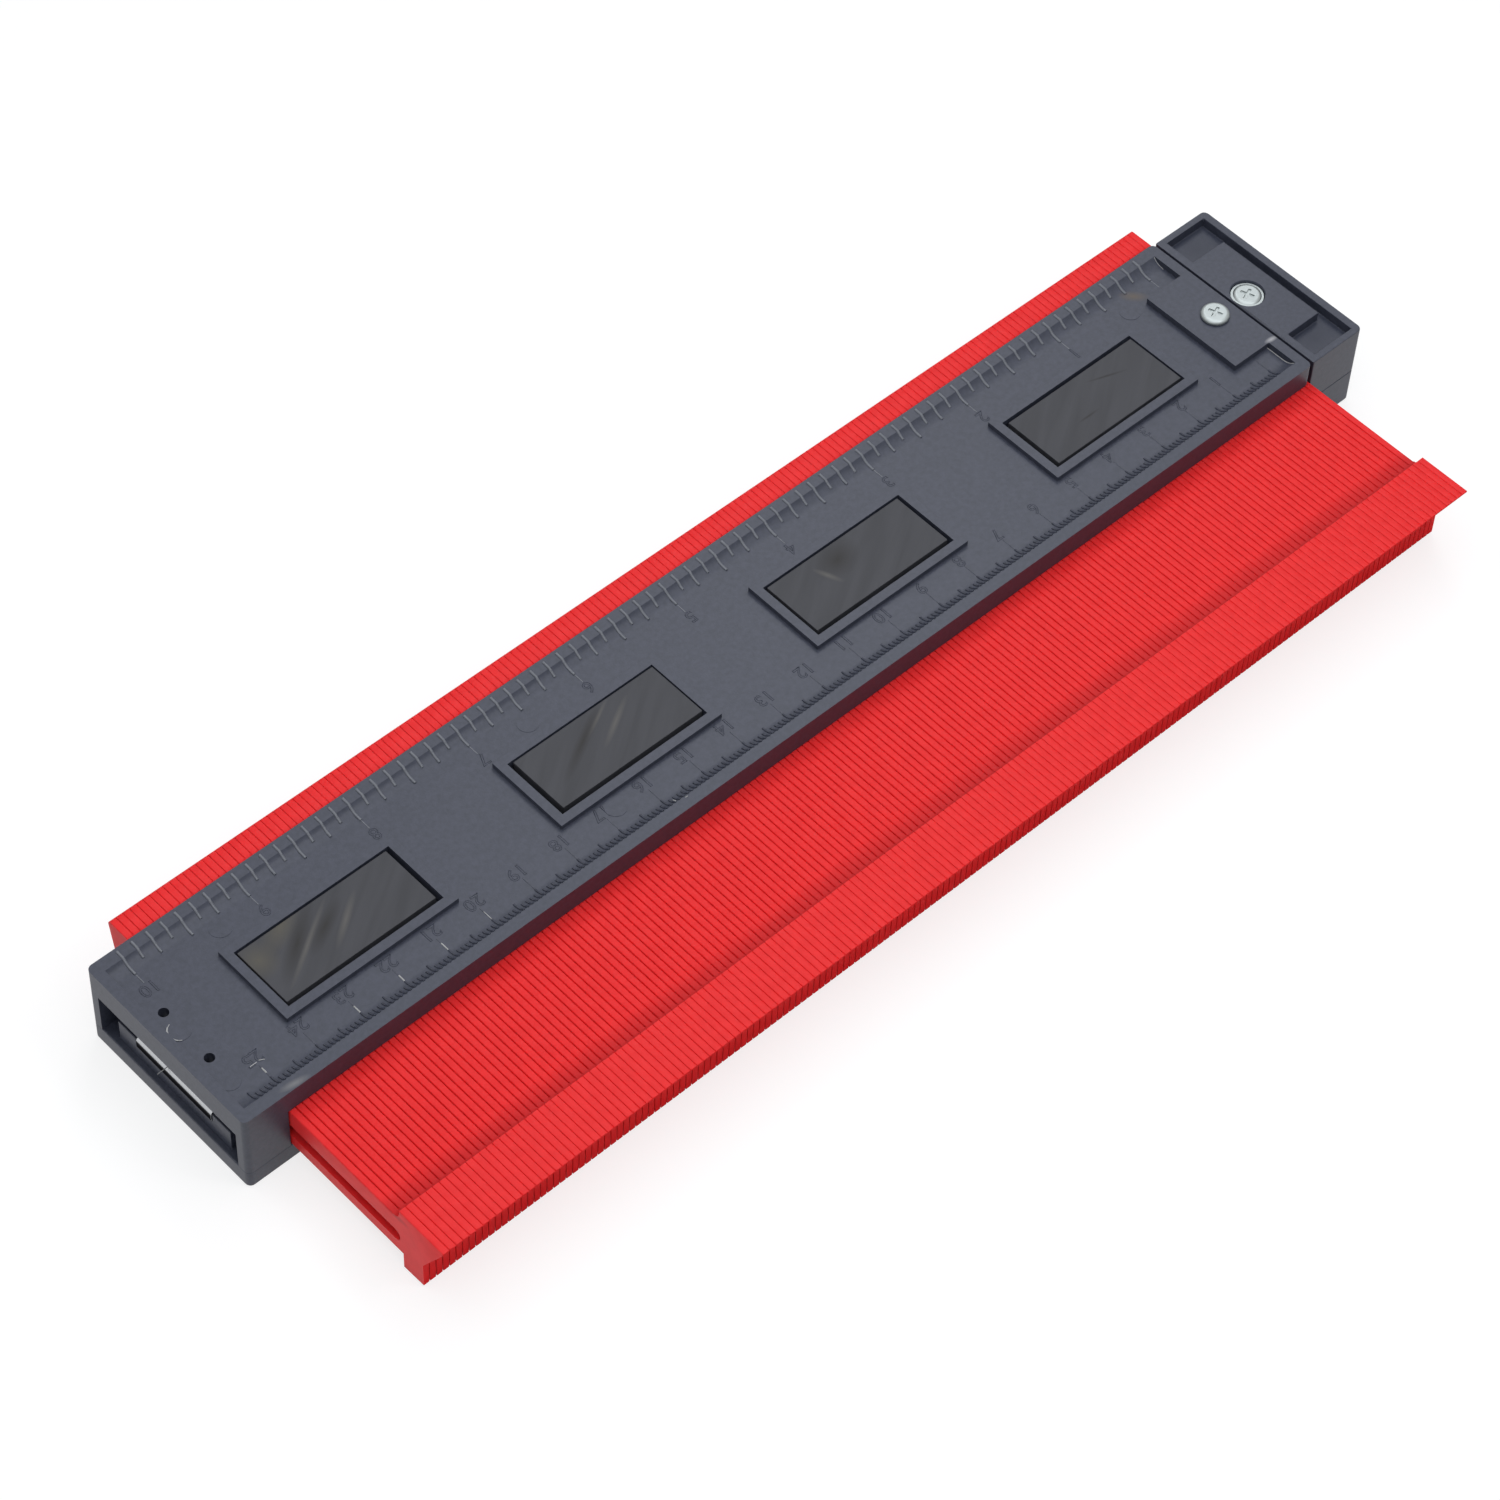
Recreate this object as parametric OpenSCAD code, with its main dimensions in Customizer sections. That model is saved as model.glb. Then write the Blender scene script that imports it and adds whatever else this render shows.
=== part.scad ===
// Contour gauge: a two-part body holds a row of sliding leaves, and an adjustable cap closes the row.
// X runs along the row of leaves, Y is the way the leaves slide, Z is up. All sizes are in millimetres.
// The origin is the centre of the body's bottom face. The leaves are drawn fully out towards -Y.

/* [Row of leaves] */
// leaves in one bank, which slide together
leaf_n = 5; // [4:1:6]
// distance from one leaf to the next
leaf_pitch = 1.472; // [1.45:0.002:1.6]
// thickness of a leaf's head and tail
head_t = 1.4; // [1.2:0.01:1.4]
// thickness of a leaf's bar
bar_t = 1.3; // [0.9:0.05:1.35]
// height of a leaf's bar
bar_h = 10; // [9.4:0.1:13]
// how far a leaf slides
leaf_travel = 27; // [15:0.5:40]

/* [Leaf head and tail] */
// length of the head's top pad along the leaf
head_l = 11.4; // [9:0.1:16]
// rise of the head's pad over the bar
pad_rise = 2.7; // [2.2:0.1:4]
// radius of the hollow ramp up to the pad
ramp_r = 1.8; // [0.8:0.1:2]
// height of the blunt edge at the lip
lip_t = 0.4; // [0.3:0.1:1]
// length of the foot under the head
foot_l = 5.1; // [4:0.1:7]
// distance from the pad's rear edge back to the foot
foot_set = 0.7; // [0.4:0.1:1.5]
// height of the foot's upright front
foot_front = 6.3; // [4.5:0.1:7]
// height of the foot over the table
foot_gap = 0.3; // [0.2:0.1:1]
// length of the tail block
tail_l = 6; // [4:0.1:10]
// rise of the tail block over the bar
tail_rise = 4.4; // [2:0.1:5]
// how far the tail's end face goes in towards its foot
tail_lean = 2.2; // [0:0.1:3]

/* [Guide bar] */
// width of the guide bar
guide_w = 20.8; // [12:0.2:22]
// height of the guide bar
guide_h = 2.4; // [1.8:0.1:3]
// height of the leaf's slot over the guide bar
slot_play = 0.6; // [0.4:0.1:1]
// web of the leaf under its slot
slot_web = 2.6; // [2.4:0.1:3.2]
// spare slot length beyond the guide bar
slot_over = 6; // [3:0.5:6]
// distance of the guide bar's near end from the end face
guide_in = 1.1; // [0.6:0.1:2]
// reach of the guide bar into the cap
guide_out = 1.6; // [1.2:0.1:1.7]
// width of the cradle that carries the guide bar
cradle_w = 31.2; // [28:0.2:33]
// drop of the cradle's cheeks below the top of the guide bar
cradle_drop = 0.4; // [0.2:0.1:0.8]

/* [Body] */
// width of the body across the leaves
body_w = 43.4; // [40:0.2:56]
// thickness of the lower cover
lower_t = 4.1; // [3.9:0.1:6]
// thickness of the upper shell's roof at its rim
roof_t = 5.3; // [5.2:0.1:8]
// length of the closed end block
end_l = 9.6; // [9.4:0.1:14]
// radius of the upright corners
corner_r = 1.2; // [0.5:0.1:2]
// width of the rim at the two ends
rim_end = 2.2; // [1.6:0.1:3]
// width of the flat rim along the two sides
rim_side = 2.6; // [1.6:0.1:3.5]
// depth of the ruler panel below the rim
panel_d = 1.4; // [0.8:0.1:1.6]
// width of the hollow edge between rim and panel
cove_w = 2.8; // [2:0.1:3.5]

/* [End socket] */
// depth of the open socket in the closed end
socket_d = 7.4; // [5:0.1:7.5]
// thickness of the socket's side walls
socket_wall = 2.7; // [2.4:0.1:4]
// depth of the lintel over the socket below the roof
socket_lip = 0.7; // [0.4:0.1:1.5]
// diameter of the two small holes over the socket
pin_d = 2; // [1.5:0.1:2.5]
// distance between the two small holes
pin_space = 12.6; // [8:0.2:20]
// distance of the small holes from the end face
pin_in = 4.85; // [4:0.05:5.5]
// width of the ridge that locates the lower cover
ridge_w = 1; // [0.6:0.1:1.2]
// height of that ridge
ridge_h = 1.2; // [0.6:0.1:2]
// distance of that ridge's ends from the ends of the socket's wall
ridge_in = 0.6; // [0.4:0.1:1.2]

/* [Magnets] */
// length of a magnet
mag_l = 33.8; // [20:0.2:34]
// width of a magnet
mag_w = 13.8; // [8:0.2:16]
// thickness of a magnet
mag_t = 3; // [2:0.1:3.4]
// gap round a magnet in its pocket
mag_gap = 0.65; // [0.5:0.05:0.7]
// largest shift of a magnet within that gap
mag_shift = 0.45; // [0:0.05:0.45]
// drop of a magnet's face below the frame's edge
mag_drop = 0.1; // [0:0.05:0.3]
// length at each end of the body that the even spacing of the magnets leaves out
mag_margin = 7.4; // [5:0.1:12]
// width of the frame round a pocket
frame_w = 1.9; // [1.2:0.1:2.2]
// height of the frame over the panel
frame_h = 1.1; // [0.5:0.1:1.4]

/* [Screws] */
// length of the raised pad under the body screw
pad_l = 9.5; // [8.5:0.1:10]
// width of that pad
pad_w = 24; // [14:0.5:26]
// diameter of a screw's head
screw_head_d = 5.9; // [5:0.1:6]
// height of a screw's head
screw_head_h = 1; // [0.8:0.1:1.05]
// diameter of a screw's shank
screw_d = 2.9; // [2:0.1:3]
// distance of the body screws from the open end
screw_in = 4.9; // [4.2:0.1:5.2]
// length of the arms of the cross recess
cross_l = 3; // [2:0.1:3.4]
// width of the arms of the cross recess
cross_w = 0.8; // [0.5:0.1:1]
// depth of the cross recess
cross_d = 0.7; // [0.4:0.05:0.7]
// turn of the cross recess from the row
cross_turn = 20; // [0:5:45]

/* [End cap] */
// length of the cap
cap_l = 14.1; // [13.5:0.1:20]
// step of the cap's long sides inside the body's sides
cap_step = 0.2; // [0:0.05:0.5]
// height of the joint between the cap's halves
cap_split = 8.1; // [7.9:0.1:8.4]
// thickness of the tray's walls at the two ends of X
tray_end = 1.8; // [1.2:0.1:2]
// thickness of the tray's walls at the two sides
tray_side = 1.5; // [1:0.1:2.5]
// depth of the tray
tray_d = 2.1; // [1.2:0.1:4]
// width of the block that stands in the middle of the tray
tray_mid = 25.9; // [16:0.1:28]
// width of the channel between that block and the tray's far wall
tray_slot = 1.7; // [1:0.1:3]
// diameter of the sunk seat round the cap screw
seat_d = 7; // [6.8:0.1:7.4]
// depth of that seat
seat_h = 1.2; // [0.8:0.1:1.6]
// wall between that seat and the cap's face at the row
seat_in = 0.4; // [0.4:0.1:0.8]
// solid floor of the cap under its screw
cap_floor = 2.5; // [1.5:0.1:4]
// how far the cap can be let out to loosen the leaves
cap_travel = 0.8; // [0.4:0.1:1]
// length of the tongues that reach into the body
tongue_l = 11.5; // [10:0.1:12]
// width of the tongues
tongue_w = 18; // [10:0.5:24]
// thickness of the tongues
tongue_t = 1.8; // [1.5:0.1:2]
// diameter of the pegs that align the cap's halves
peg_d = 3; // [2:0.1:4]
// height of those pegs
peg_h = 3; // [2:0.1:4]
// distance of those pegs from the cap's long sides
peg_in = 4.5; // [3.5:0.1:8]

/* [Clearances] */
// between a leaf's bar and the shells
leaf_clear = 0.2; // [0.15:0.05:0.5]
// between the first leaf and the end block, and the last leaf and the cap
row_clear = 0.2; // [0.15:0.05:0.4]
// how far the row of leaves stands out of the open end
row_out = 0.4; // [0.3:0.1:1.2]
// between a leaf's stop and the body
stop_clear = 0.3; // [0.2:0.1:1]
// round the tongues, the guide bar's far end, the pegs and the ridges
fit_clear = 0.15; // [0.1:0.05:0.25]
// round a shank in the hole that it is screwed into
thread_clear = 0.05; // [0.03:0.01:0.1]
// round a shank in a hole that it only passes through
shank_clear = 0.25; // [0.15:0.05:0.3]
// below a head, so that the cap can move
head_clear = 0.1; // [0.05:0.05:0.15]
// under the tip of the cap screw
tip_clear = 0.5; // [0.3:0.1:1]
// between the tongues and the space of the leaves
tongue_set = 0.1; // [0.05:0.05:0.15]
// beyond the guide bar's far end in the cap
guide_spare = 0.3; // [0.2:0.1:0.4]

/* [Hidden] */
// the banks and the magnets are nodes, so their numbers are fixed
bank_n = 35;
mag_n = 4;
// how far each magnet went along X and Y when it was glued in, as a share of mag_shift
mag_push = [[-0.6, 0.6], [1, 0.8], [0, 0.6], [0.8, 0]];
// facets of a round, and of the wide round of the panel's edge
$fn = 48;
cove_fn = 96;
// how far a cut reaches past the face that it opens, and a joined block into the next
over = 1;
bar_bite = 2;
plastic = [0.24, 0.25, 0.29];
leaf_red = [0.85, 0.10, 0.11];
ferrite = [0.22, 0.20, 0.20];
aluminium = [0.62, 0.64, 0.66];
steel = [0.80, 0.81, 0.82];

// heights
bar_z0 = lower_t + leaf_clear;
bar_z1 = bar_z0 + bar_h;
roof_z = bar_z1 + leaf_clear;
body_h = roof_z + roof_t;
panel_z = body_h - panel_d;
pad_z = bar_z1 + pad_rise;
tail_z = bar_z1 + tail_rise;
slot_h = guide_h + slot_play;
slot_z = bar_z0 + slot_web + slot_h / 2;
guide_z = slot_z - guide_h / 2;

// lengths
row_l = bank_n * leaf_n * leaf_pitch;
body_l = end_l + row_l - row_out;
body_x0 = -body_l / 2;
body_x1 = body_l / 2;
row_x0 = body_x0 + end_l;
row_x1 = row_x0 + row_l;
cap_x0 = row_x1 + row_clear;
cap_x1 = cap_x0 + cap_l;
cap_w = body_w - 2 * cap_step;

// stations along a leaf
face_y = body_w / 2;
tail_y0 = face_y + stop_clear;
tail_y1 = tail_y0 + tail_l;
pad_y = -(face_y + leaf_travel + ramp_r + stop_clear);
lip_y = pad_y - head_l;
foot_y0 = pad_y - foot_set;
foot_y1 = foot_y0 - foot_l;

// panel
cove_r = (cove_w * cove_w + panel_d * panel_d) / (2 * panel_d);
panel_y = face_y - rim_side - cove_w;

// socket
socket_z = roof_z - socket_lip;
inner_x0 = body_x0 + socket_d;
inner_x1 = row_x0 - row_clear;
guide_x0 = body_x0 + guide_in;
guide_x1 = cap_x0 + guide_out;
ridge_y = face_y - socket_wall / 2;

// magnets
mag_step = (body_l - 2 * mag_margin) / mag_n;
mag_z = panel_z + frame_h - mag_drop - mag_t;
pocket_l = mag_l + 2 * mag_gap;
pocket_w = mag_w + 2 * mag_gap;

// screws and tongues
screw_x = body_x1 - screw_in;
cap_screw_x = cap_x0 + seat_in + seat_d / 2;
tongue_up_z = roof_z + tongue_set;
tongue_low_z = lower_t - tongue_set - tongue_t;
sink_h = head_clear + screw_head_h + head_clear;
seat_z = body_h - seat_h;
peg_x = cap_x0 + cap_l / 2;
peg_y = cap_w / 2 - peg_in;

// the one piece to draw, or all of them

// A box from its lowest corner to its highest.
module box(a, b) {
    translate(a) cube(b - a);
}

// A rectangle with rounded corners, made of squares and circles so that its corners stay true arcs.
module round_rect(x0, x1, w, r) {
    translate([x0 + r, -w / 2]) square([x1 - x0 - 2 * r, w]);
    translate([x0, -w / 2 + r]) square([x1 - x0, w - 2 * r]);
    for (x = [x0 + r, x1 - r]) {
        for (y = [-w / 2 + r, w / 2 - r]) {
            translate([x, y]) circle(r);
        }
    }
}

// A flat profile drawn in Y and Z, given thickness t along X and centred on x.
module along_x(x, t) {
    translate([x - t / 2, 0, 0]) rotate([90, 0, 90]) linear_extrude(t) children();
}

// A slot that a screw can slide along, from z0 to z1.
module screw_slot(x, d, run, z0, z1) {
    translate([x, 0, z0]) cylinder(d = d, h = z1 - z0);
    translate([x + run, 0, z0]) cylinder(d = d, h = z1 - z0);
    box([x, -d / 2, z0], [x + run, d / 2, z1]);
}

// The hollow-edged ruler panel that is cut out of the top.
module panel_cut() {
    x_mid = (body_x0 + body_x1) / 2;
    along_x(x_mid, body_l - 2 * rim_end) {
        translate([-panel_y, panel_z]) square([2 * panel_y, panel_d + over]);
        for (s = [-1, 1]) {
            intersection() {
                translate([s * panel_y, panel_z + cove_r]) circle(cove_r, $fn = cove_fn);
                translate([-face_y, panel_z]) square([body_w, panel_d + over]);
            }
        }
    }
}

module upper_shell() {
    color(plastic)
    difference() {
        union() {
            difference() {
                union() {
                    translate([0, 0, roof_z])
                        linear_extrude(roof_t) round_rect(body_x0, body_x1, body_w, corner_r);
                    translate([0, 0, lower_t]) linear_extrude(roof_z + over - lower_t) end_outline();
                }
                panel_cut();
            }
            box([body_x1 - rim_end - pad_l, -pad_w / 2, panel_z - over],
                [body_x1 - rim_end / 2, pad_w / 2, body_h]);
            for (i = [0:mag_n - 1]) {
                frame_block(i);
            }
        }
        for (i = [0:mag_n - 1]) {
            translate([mag_x(i), 0, mag_z])
                linear_extrude(mag_t + mag_drop + over) square([pocket_l, pocket_w], center = true);
        }
        // end socket, and the small holes down into it
        box([body_x0 - over, -face_y + socket_wall, lower_t - over],
            [inner_x0, face_y - socket_wall, socket_z]);
        for (s = [-1, 1]) {
            translate([body_x0 + pin_in, s * pin_space / 2, socket_z - over])
                cylinder(d = pin_d, h = body_h - socket_z + 2 * over);
        }
        // grooves for the lower cover's ridges
        for (s = [-1, 1]) {
            ridge(s, fit_clear);
        }
        // window for the guide bar
        box([inner_x0 - over, -guide_w / 2 - fit_clear, guide_z - fit_clear],
            [inner_x1 + over, guide_w / 2 + fit_clear, guide_z + guide_h + fit_clear]);
        // pocket for the cap's upper tongue, and the slot of the body screw
        box([cap_x0 - tongue_l - 2 * fit_clear, -tongue_w / 2 - fit_clear, roof_z - over],
            [body_x1 + over, tongue_w / 2 + fit_clear, tongue_up_z + tongue_t + fit_clear]);
        screw_slot(screw_x, screw_d + 2 * shank_clear, cap_travel, roof_z, body_h + over);
    }
}

// The closed end of the body, cut off square before the first leaf.
module end_outline() {
    intersection() {
        round_rect(body_x0, body_x1, body_w, corner_r);
        translate([body_x0, -body_w / 2]) square([inner_x1 - body_x0, body_w]);
    }
}

// One of the two ridges under the end block's side walls.
module ridge(side, clear) {
    x0 = body_x0 + corner_r + ridge_in;
    x1 = inner_x0 - ridge_in;
    box([x0 - clear, side * ridge_y - ridge_w / 2 - clear, lower_t - over],
        [x1 + clear, side * ridge_y + ridge_w / 2 + clear, lower_t + ridge_h + clear]);
}

// The middle of magnet i along X.
function mag_x(i) = (i - (mag_n - 1) / 2) * mag_step;

module frame_block(i) {
    translate([mag_x(i), 0, panel_z - over])
        linear_extrude(frame_h + over)
            square([pocket_l + 2 * frame_w, pocket_w + 2 * frame_w], center = true);
}

module lower_cover() {
    color(plastic)
    difference() {
        union() {
            linear_extrude(lower_t) round_rect(body_x0, body_x1, body_w, corner_r);
            for (s = [-1, 1]) {
                ridge(s, 0);
            }
            cradle();
        }
        // pocket for the cap's lower tongue
        box([cap_x0 - tongue_l - 2 * fit_clear, -tongue_w / 2 - fit_clear, tongue_low_z - fit_clear],
            [body_x1 + over, tongue_w / 2 + fit_clear, lower_t + over]);
        // slot and sunk seat of the bottom screw
        screw_slot(screw_x, screw_d + 2 * shank_clear, cap_travel, -over, lower_t);
        screw_slot(screw_x, screw_head_d + 2 * shank_clear, cap_travel, -over, sink_h);
    }
}

// The block inside the end socket that carries the guide bar in a groove.
module cradle() {
    difference() {
        box([guide_x0 + fit_clear, -cradle_w / 2, lower_t - over],
            [inner_x0 - fit_clear, cradle_w / 2, guide_z + guide_h - cradle_drop]);
        box([guide_x0 - over, -guide_w / 2 - fit_clear, guide_z],
            [inner_x0 + over, guide_w / 2 + fit_clear, guide_z + guide_h + over]);
    }
}

module guide_bar() {
    color(aluminium)
    box([guide_x0, -guide_w / 2, guide_z], [guide_x1, guide_w / 2, guide_z + guide_h]);
}

module magnet(i) {
    color(ferrite)
    translate([mag_x(i) + mag_shift * mag_push[i].x, mag_shift * mag_push[i].y, mag_z])
        linear_extrude(mag_t) square([mag_l, mag_w], center = true);
}

// The cap's outline, square at the row and rounded at the far end.
module cap_outline() {
    round_rect(cap_x0, cap_x1, cap_w, corner_r);
    translate([cap_x0, -cap_w / 2]) square([cap_l / 2, cap_w]);
}

// The hole in the cap that takes the guide bar's far end.
module guide_hole() {
    box([cap_x0 - over, -guide_w / 2 - 2 * fit_clear, guide_z - fit_clear],
        [guide_x1 + guide_spare, guide_w / 2 + 2 * fit_clear, guide_z + guide_h + fit_clear]);
}

// The space of the tray: a pocket at each side and a narrow channel behind the block between them.
module tray() {
    difference() {
        box([cap_x0 + tray_end, -cap_w / 2 + tray_side, body_h - tray_d],
            [cap_x1 - tray_end, cap_w / 2 - tray_side, body_h + over]);
        box([cap_x0, -tray_mid / 2, body_h - tray_d - over],
            [cap_x1 - tray_end - tray_slot, tray_mid / 2, body_h + 2 * over]);
    }
}

module cap_upper() {
    color(plastic)
    difference() {
        union() {
            translate([0, 0, cap_split]) linear_extrude(body_h - cap_split) cap_outline();
            box([cap_x0 - tongue_l, -tongue_w / 2, tongue_up_z],
                [cap_x0 + over, tongue_w / 2, tongue_up_z + tongue_t]);
        }
        tray();
        guide_hole();
        // body screw in the tongue, cap screw through the block of the tray
        translate([screw_x, 0, roof_z]) cylinder(d = screw_d + 2 * thread_clear, h = tongue_t + over);
        translate([cap_screw_x, 0, cap_split - over]) cylinder(d = screw_d + 2 * shank_clear, h = body_h);
        translate([cap_screw_x, 0, seat_z]) cylinder(d = seat_d, h = seat_h + over);
        for (s = [-1, 1]) {
            translate([peg_x, s * peg_y, cap_split - over])
                cylinder(d = peg_d + 2 * fit_clear, h = peg_h + over + fit_clear);
        }
    }
}

module cap_lower() {
    color(plastic)
    difference() {
        union() {
            linear_extrude(cap_split) cap_outline();
            box([cap_x0 - tongue_l, -tongue_w / 2, tongue_low_z],
                [cap_x0 + over, tongue_w / 2, tongue_low_z + tongue_t]);
            for (s = [-1, 1]) {
                translate([peg_x, s * peg_y, cap_split - over]) cylinder(d = peg_d, h = peg_h + over);
            }
        }
        guide_hole();
        translate([screw_x, 0, tongue_low_z - over])
            cylinder(d = screw_d + 2 * thread_clear, h = tongue_t + 2 * over);
        translate([cap_screw_x, 0, cap_floor]) cylinder(d = screw_d + 2 * thread_clear, h = cap_split);
    }
}

// A screw with its head's underside at z = 0 and its shank hanging down.
module screw(len) {
    difference() {
        union() {
            cylinder(d = screw_head_d, h = screw_head_h);
            translate([0, 0, -len]) cylinder(d = screw_d, h = len + screw_head_h / 2);
        }
        for (a = [0, 90]) {
            rotate([0, 0, a + cross_turn])
                box([-cross_l / 2, -cross_w / 2, screw_head_h - cross_d],
                    [cross_l / 2, cross_w / 2, screw_head_h + over]);
        }
    }
}

module body_screw() {
    color(steel)
    translate([screw_x, 0, body_h + head_clear]) screw(body_h - tongue_up_z);
}

module cap_screw() {
    color(steel)
    translate([cap_screw_x, 0, seat_z]) screw(seat_z - cap_floor - tip_clear);
}

module bottom_screw() {
    color(steel)
    translate([screw_x, 0, sink_h - head_clear])
        rotate([180, 0, 0]) screw(tongue_low_z + tongue_t - sink_h);
}

// The thick head of a leaf: pad, lip and foot, with a hollow ramp up from the bar.
module head_shape() {
    difference() {
        polygon([
            [pad_y + ramp_r, bar_z1 - over],
            [pad_y + ramp_r, bar_z1 + ramp_r],
            [pad_y, bar_z1 + ramp_r],
            [pad_y, pad_z],
            [lip_y, pad_z],
            [lip_y, pad_z - lip_t],
            [foot_y1, foot_gap + foot_front],
            [foot_y1, foot_gap],
            [foot_y0, foot_gap],
            [foot_y0, bar_z1 - over]
        ]);
        translate([pad_y + ramp_r, bar_z1 + ramp_r]) circle(ramp_r);
    }
}

// The thin bar of a leaf, with the slot for the guide bar.
module bar_shape() {
    slot_y0 = pad_y + slot_h / 2;
    slot_y1 = guide_w / 2 + slot_over;
    difference() {
        translate([foot_y0 - bar_bite, bar_z0]) square([tail_y0 - foot_y0 + 2 * bar_bite, bar_h]);
        translate([slot_y0, slot_z - slot_h / 2]) square([slot_y1 - slot_y0, slot_h]);
        translate([slot_y0, slot_z]) circle(d = slot_h);
        translate([slot_y1, slot_z]) circle(d = slot_h);
    }
}

// The thick tail of a leaf, which stops against the body.
module tail_shape() {
    polygon([
        [tail_y0, bar_z0],
        [tail_y1 - tail_lean, bar_z0],
        [tail_y1, tail_z],
        [tail_y0, tail_z]
    ]);
}

module leaf(x) {
    union() {
        along_x(x, bar_t) bar_shape();
        along_x(x, head_t) head_shape();
        along_x(x, head_t) tail_shape();
    }
}

// One bank: leaves side by side that slide together, each a solid of its own.
module leaf_bank(k) {
    color(leaf_red)
    for (i = [0:leaf_n - 1]) {
        leaf(row_x0 + ((k - 1) * leaf_n + i + 0.5) * leaf_pitch);
    }
}

upper_shell();
lower_cover();
guide_bar();
magnet(0);  // magnet_1
magnet(1);  // magnet_2
magnet(2);  // magnet_3
magnet(3);  // magnet_4
cap_upper();
cap_lower();
body_screw();
cap_screw();
bottom_screw();
leaf_bank(1);  // leaf_bank_01
leaf_bank(2);  // leaf_bank_02
leaf_bank(3);  // leaf_bank_03
leaf_bank(4);  // leaf_bank_04
leaf_bank(5);  // leaf_bank_05
leaf_bank(6);  // leaf_bank_06
leaf_bank(7);  // leaf_bank_07
leaf_bank(8);  // leaf_bank_08
leaf_bank(9);  // leaf_bank_09
leaf_bank(10);  // leaf_bank_10
leaf_bank(11);  // leaf_bank_11
leaf_bank(12);  // leaf_bank_12
leaf_bank(13);  // leaf_bank_13
leaf_bank(14);  // leaf_bank_14
leaf_bank(15);  // leaf_bank_15
leaf_bank(16);  // leaf_bank_16
leaf_bank(17);  // leaf_bank_17
leaf_bank(18);  // leaf_bank_18
leaf_bank(19);  // leaf_bank_19
leaf_bank(20);  // leaf_bank_20
leaf_bank(21);  // leaf_bank_21
leaf_bank(22);  // leaf_bank_22
leaf_bank(23);  // leaf_bank_23
leaf_bank(24);  // leaf_bank_24
leaf_bank(25);  // leaf_bank_25
leaf_bank(26);  // leaf_bank_26
leaf_bank(27);  // leaf_bank_27
leaf_bank(28);  // leaf_bank_28
leaf_bank(29);  // leaf_bank_29
leaf_bank(30);  // leaf_bank_30
leaf_bank(31);  // leaf_bank_31
leaf_bank(32);  // leaf_bank_32
leaf_bank(33);  // leaf_bank_33
leaf_bank(34);  // leaf_bank_34
leaf_bank(35);  // leaf_bank_35
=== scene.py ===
# %% [markdown]
# Contour gauge.
# A dark two-part body holds a row of red leaves that slide through it. A cap closes the row at one end,
# four flat magnets sit in the top, and two scales run along its long sides.
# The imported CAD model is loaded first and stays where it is. Each piece below is modelled over its CAD node.

# %% Load the frame
import math

import bmesh
import bpy
from mathutils import Matrix, Vector


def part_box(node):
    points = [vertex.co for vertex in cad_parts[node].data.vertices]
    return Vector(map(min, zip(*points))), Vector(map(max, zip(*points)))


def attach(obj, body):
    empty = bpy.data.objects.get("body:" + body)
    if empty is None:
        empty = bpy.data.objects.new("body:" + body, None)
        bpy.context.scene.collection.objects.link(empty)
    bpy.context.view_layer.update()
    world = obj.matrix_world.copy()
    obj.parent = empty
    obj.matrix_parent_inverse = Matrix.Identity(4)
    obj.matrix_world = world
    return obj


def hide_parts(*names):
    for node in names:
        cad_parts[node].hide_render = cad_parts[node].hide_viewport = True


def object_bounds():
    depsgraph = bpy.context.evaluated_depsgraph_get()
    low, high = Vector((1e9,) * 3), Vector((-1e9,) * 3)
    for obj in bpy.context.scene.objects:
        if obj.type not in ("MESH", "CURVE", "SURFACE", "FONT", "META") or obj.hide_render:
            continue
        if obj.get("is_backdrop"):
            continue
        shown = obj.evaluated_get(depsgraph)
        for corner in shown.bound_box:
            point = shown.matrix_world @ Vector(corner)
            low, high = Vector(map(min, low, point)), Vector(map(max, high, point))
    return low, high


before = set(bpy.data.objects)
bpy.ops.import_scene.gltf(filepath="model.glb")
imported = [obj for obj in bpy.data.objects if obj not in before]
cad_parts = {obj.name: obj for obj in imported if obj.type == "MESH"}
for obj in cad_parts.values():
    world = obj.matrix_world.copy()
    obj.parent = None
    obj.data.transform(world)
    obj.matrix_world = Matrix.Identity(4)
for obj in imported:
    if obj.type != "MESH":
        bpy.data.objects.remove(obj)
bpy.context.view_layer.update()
MM = 0.001

# %% [markdown]
# The camera.
# The photograph looks down on the gauge from its near left corner with a long lens, tilted a little.
# An object's rotation can be typed in, but aiming at a point and then rolling is easier to read and change.

# %% Camera
CAMERA_PLACE = Vector((-373.42, -374.30, 662.23)) * MM
CAMERA_AIM = Vector((-3.06, -8.23, 0)) * MM
CAMERA_ROLL = math.radians(3.14)
LENS_MM = 108.38
NEAREST = 0.01  # m
bpy.ops.object.camera_add(location=CAMERA_PLACE)
camera = bpy.context.object
aim = (CAMERA_AIM - CAMERA_PLACE).to_track_quat("-Z", "Y").to_matrix()
camera.rotation_euler = (aim @ Matrix.Rotation(CAMERA_ROLL, 3, "Z")).to_euler()
camera.data.lens = LENS_MM
camera.data.clip_start = NEAREST
bpy.context.scene.camera = camera
bpy.context.scene.view_settings.view_transform = "Standard"
print("camera is", round((CAMERA_AIM - CAMERA_PLACE).length, 2), "m away")

# %% [markdown]
# The white world.
# The background of a product shot is pure white. More light would give that too, but would also flood the
# gauge. Light Path tells the rays apart instead: the world is white to the camera, to mirrors and to glass,
# and lights the gauge only a little.

# %% World
WORLD_LEVEL, WHITE = 0.15, 1.0


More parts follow.
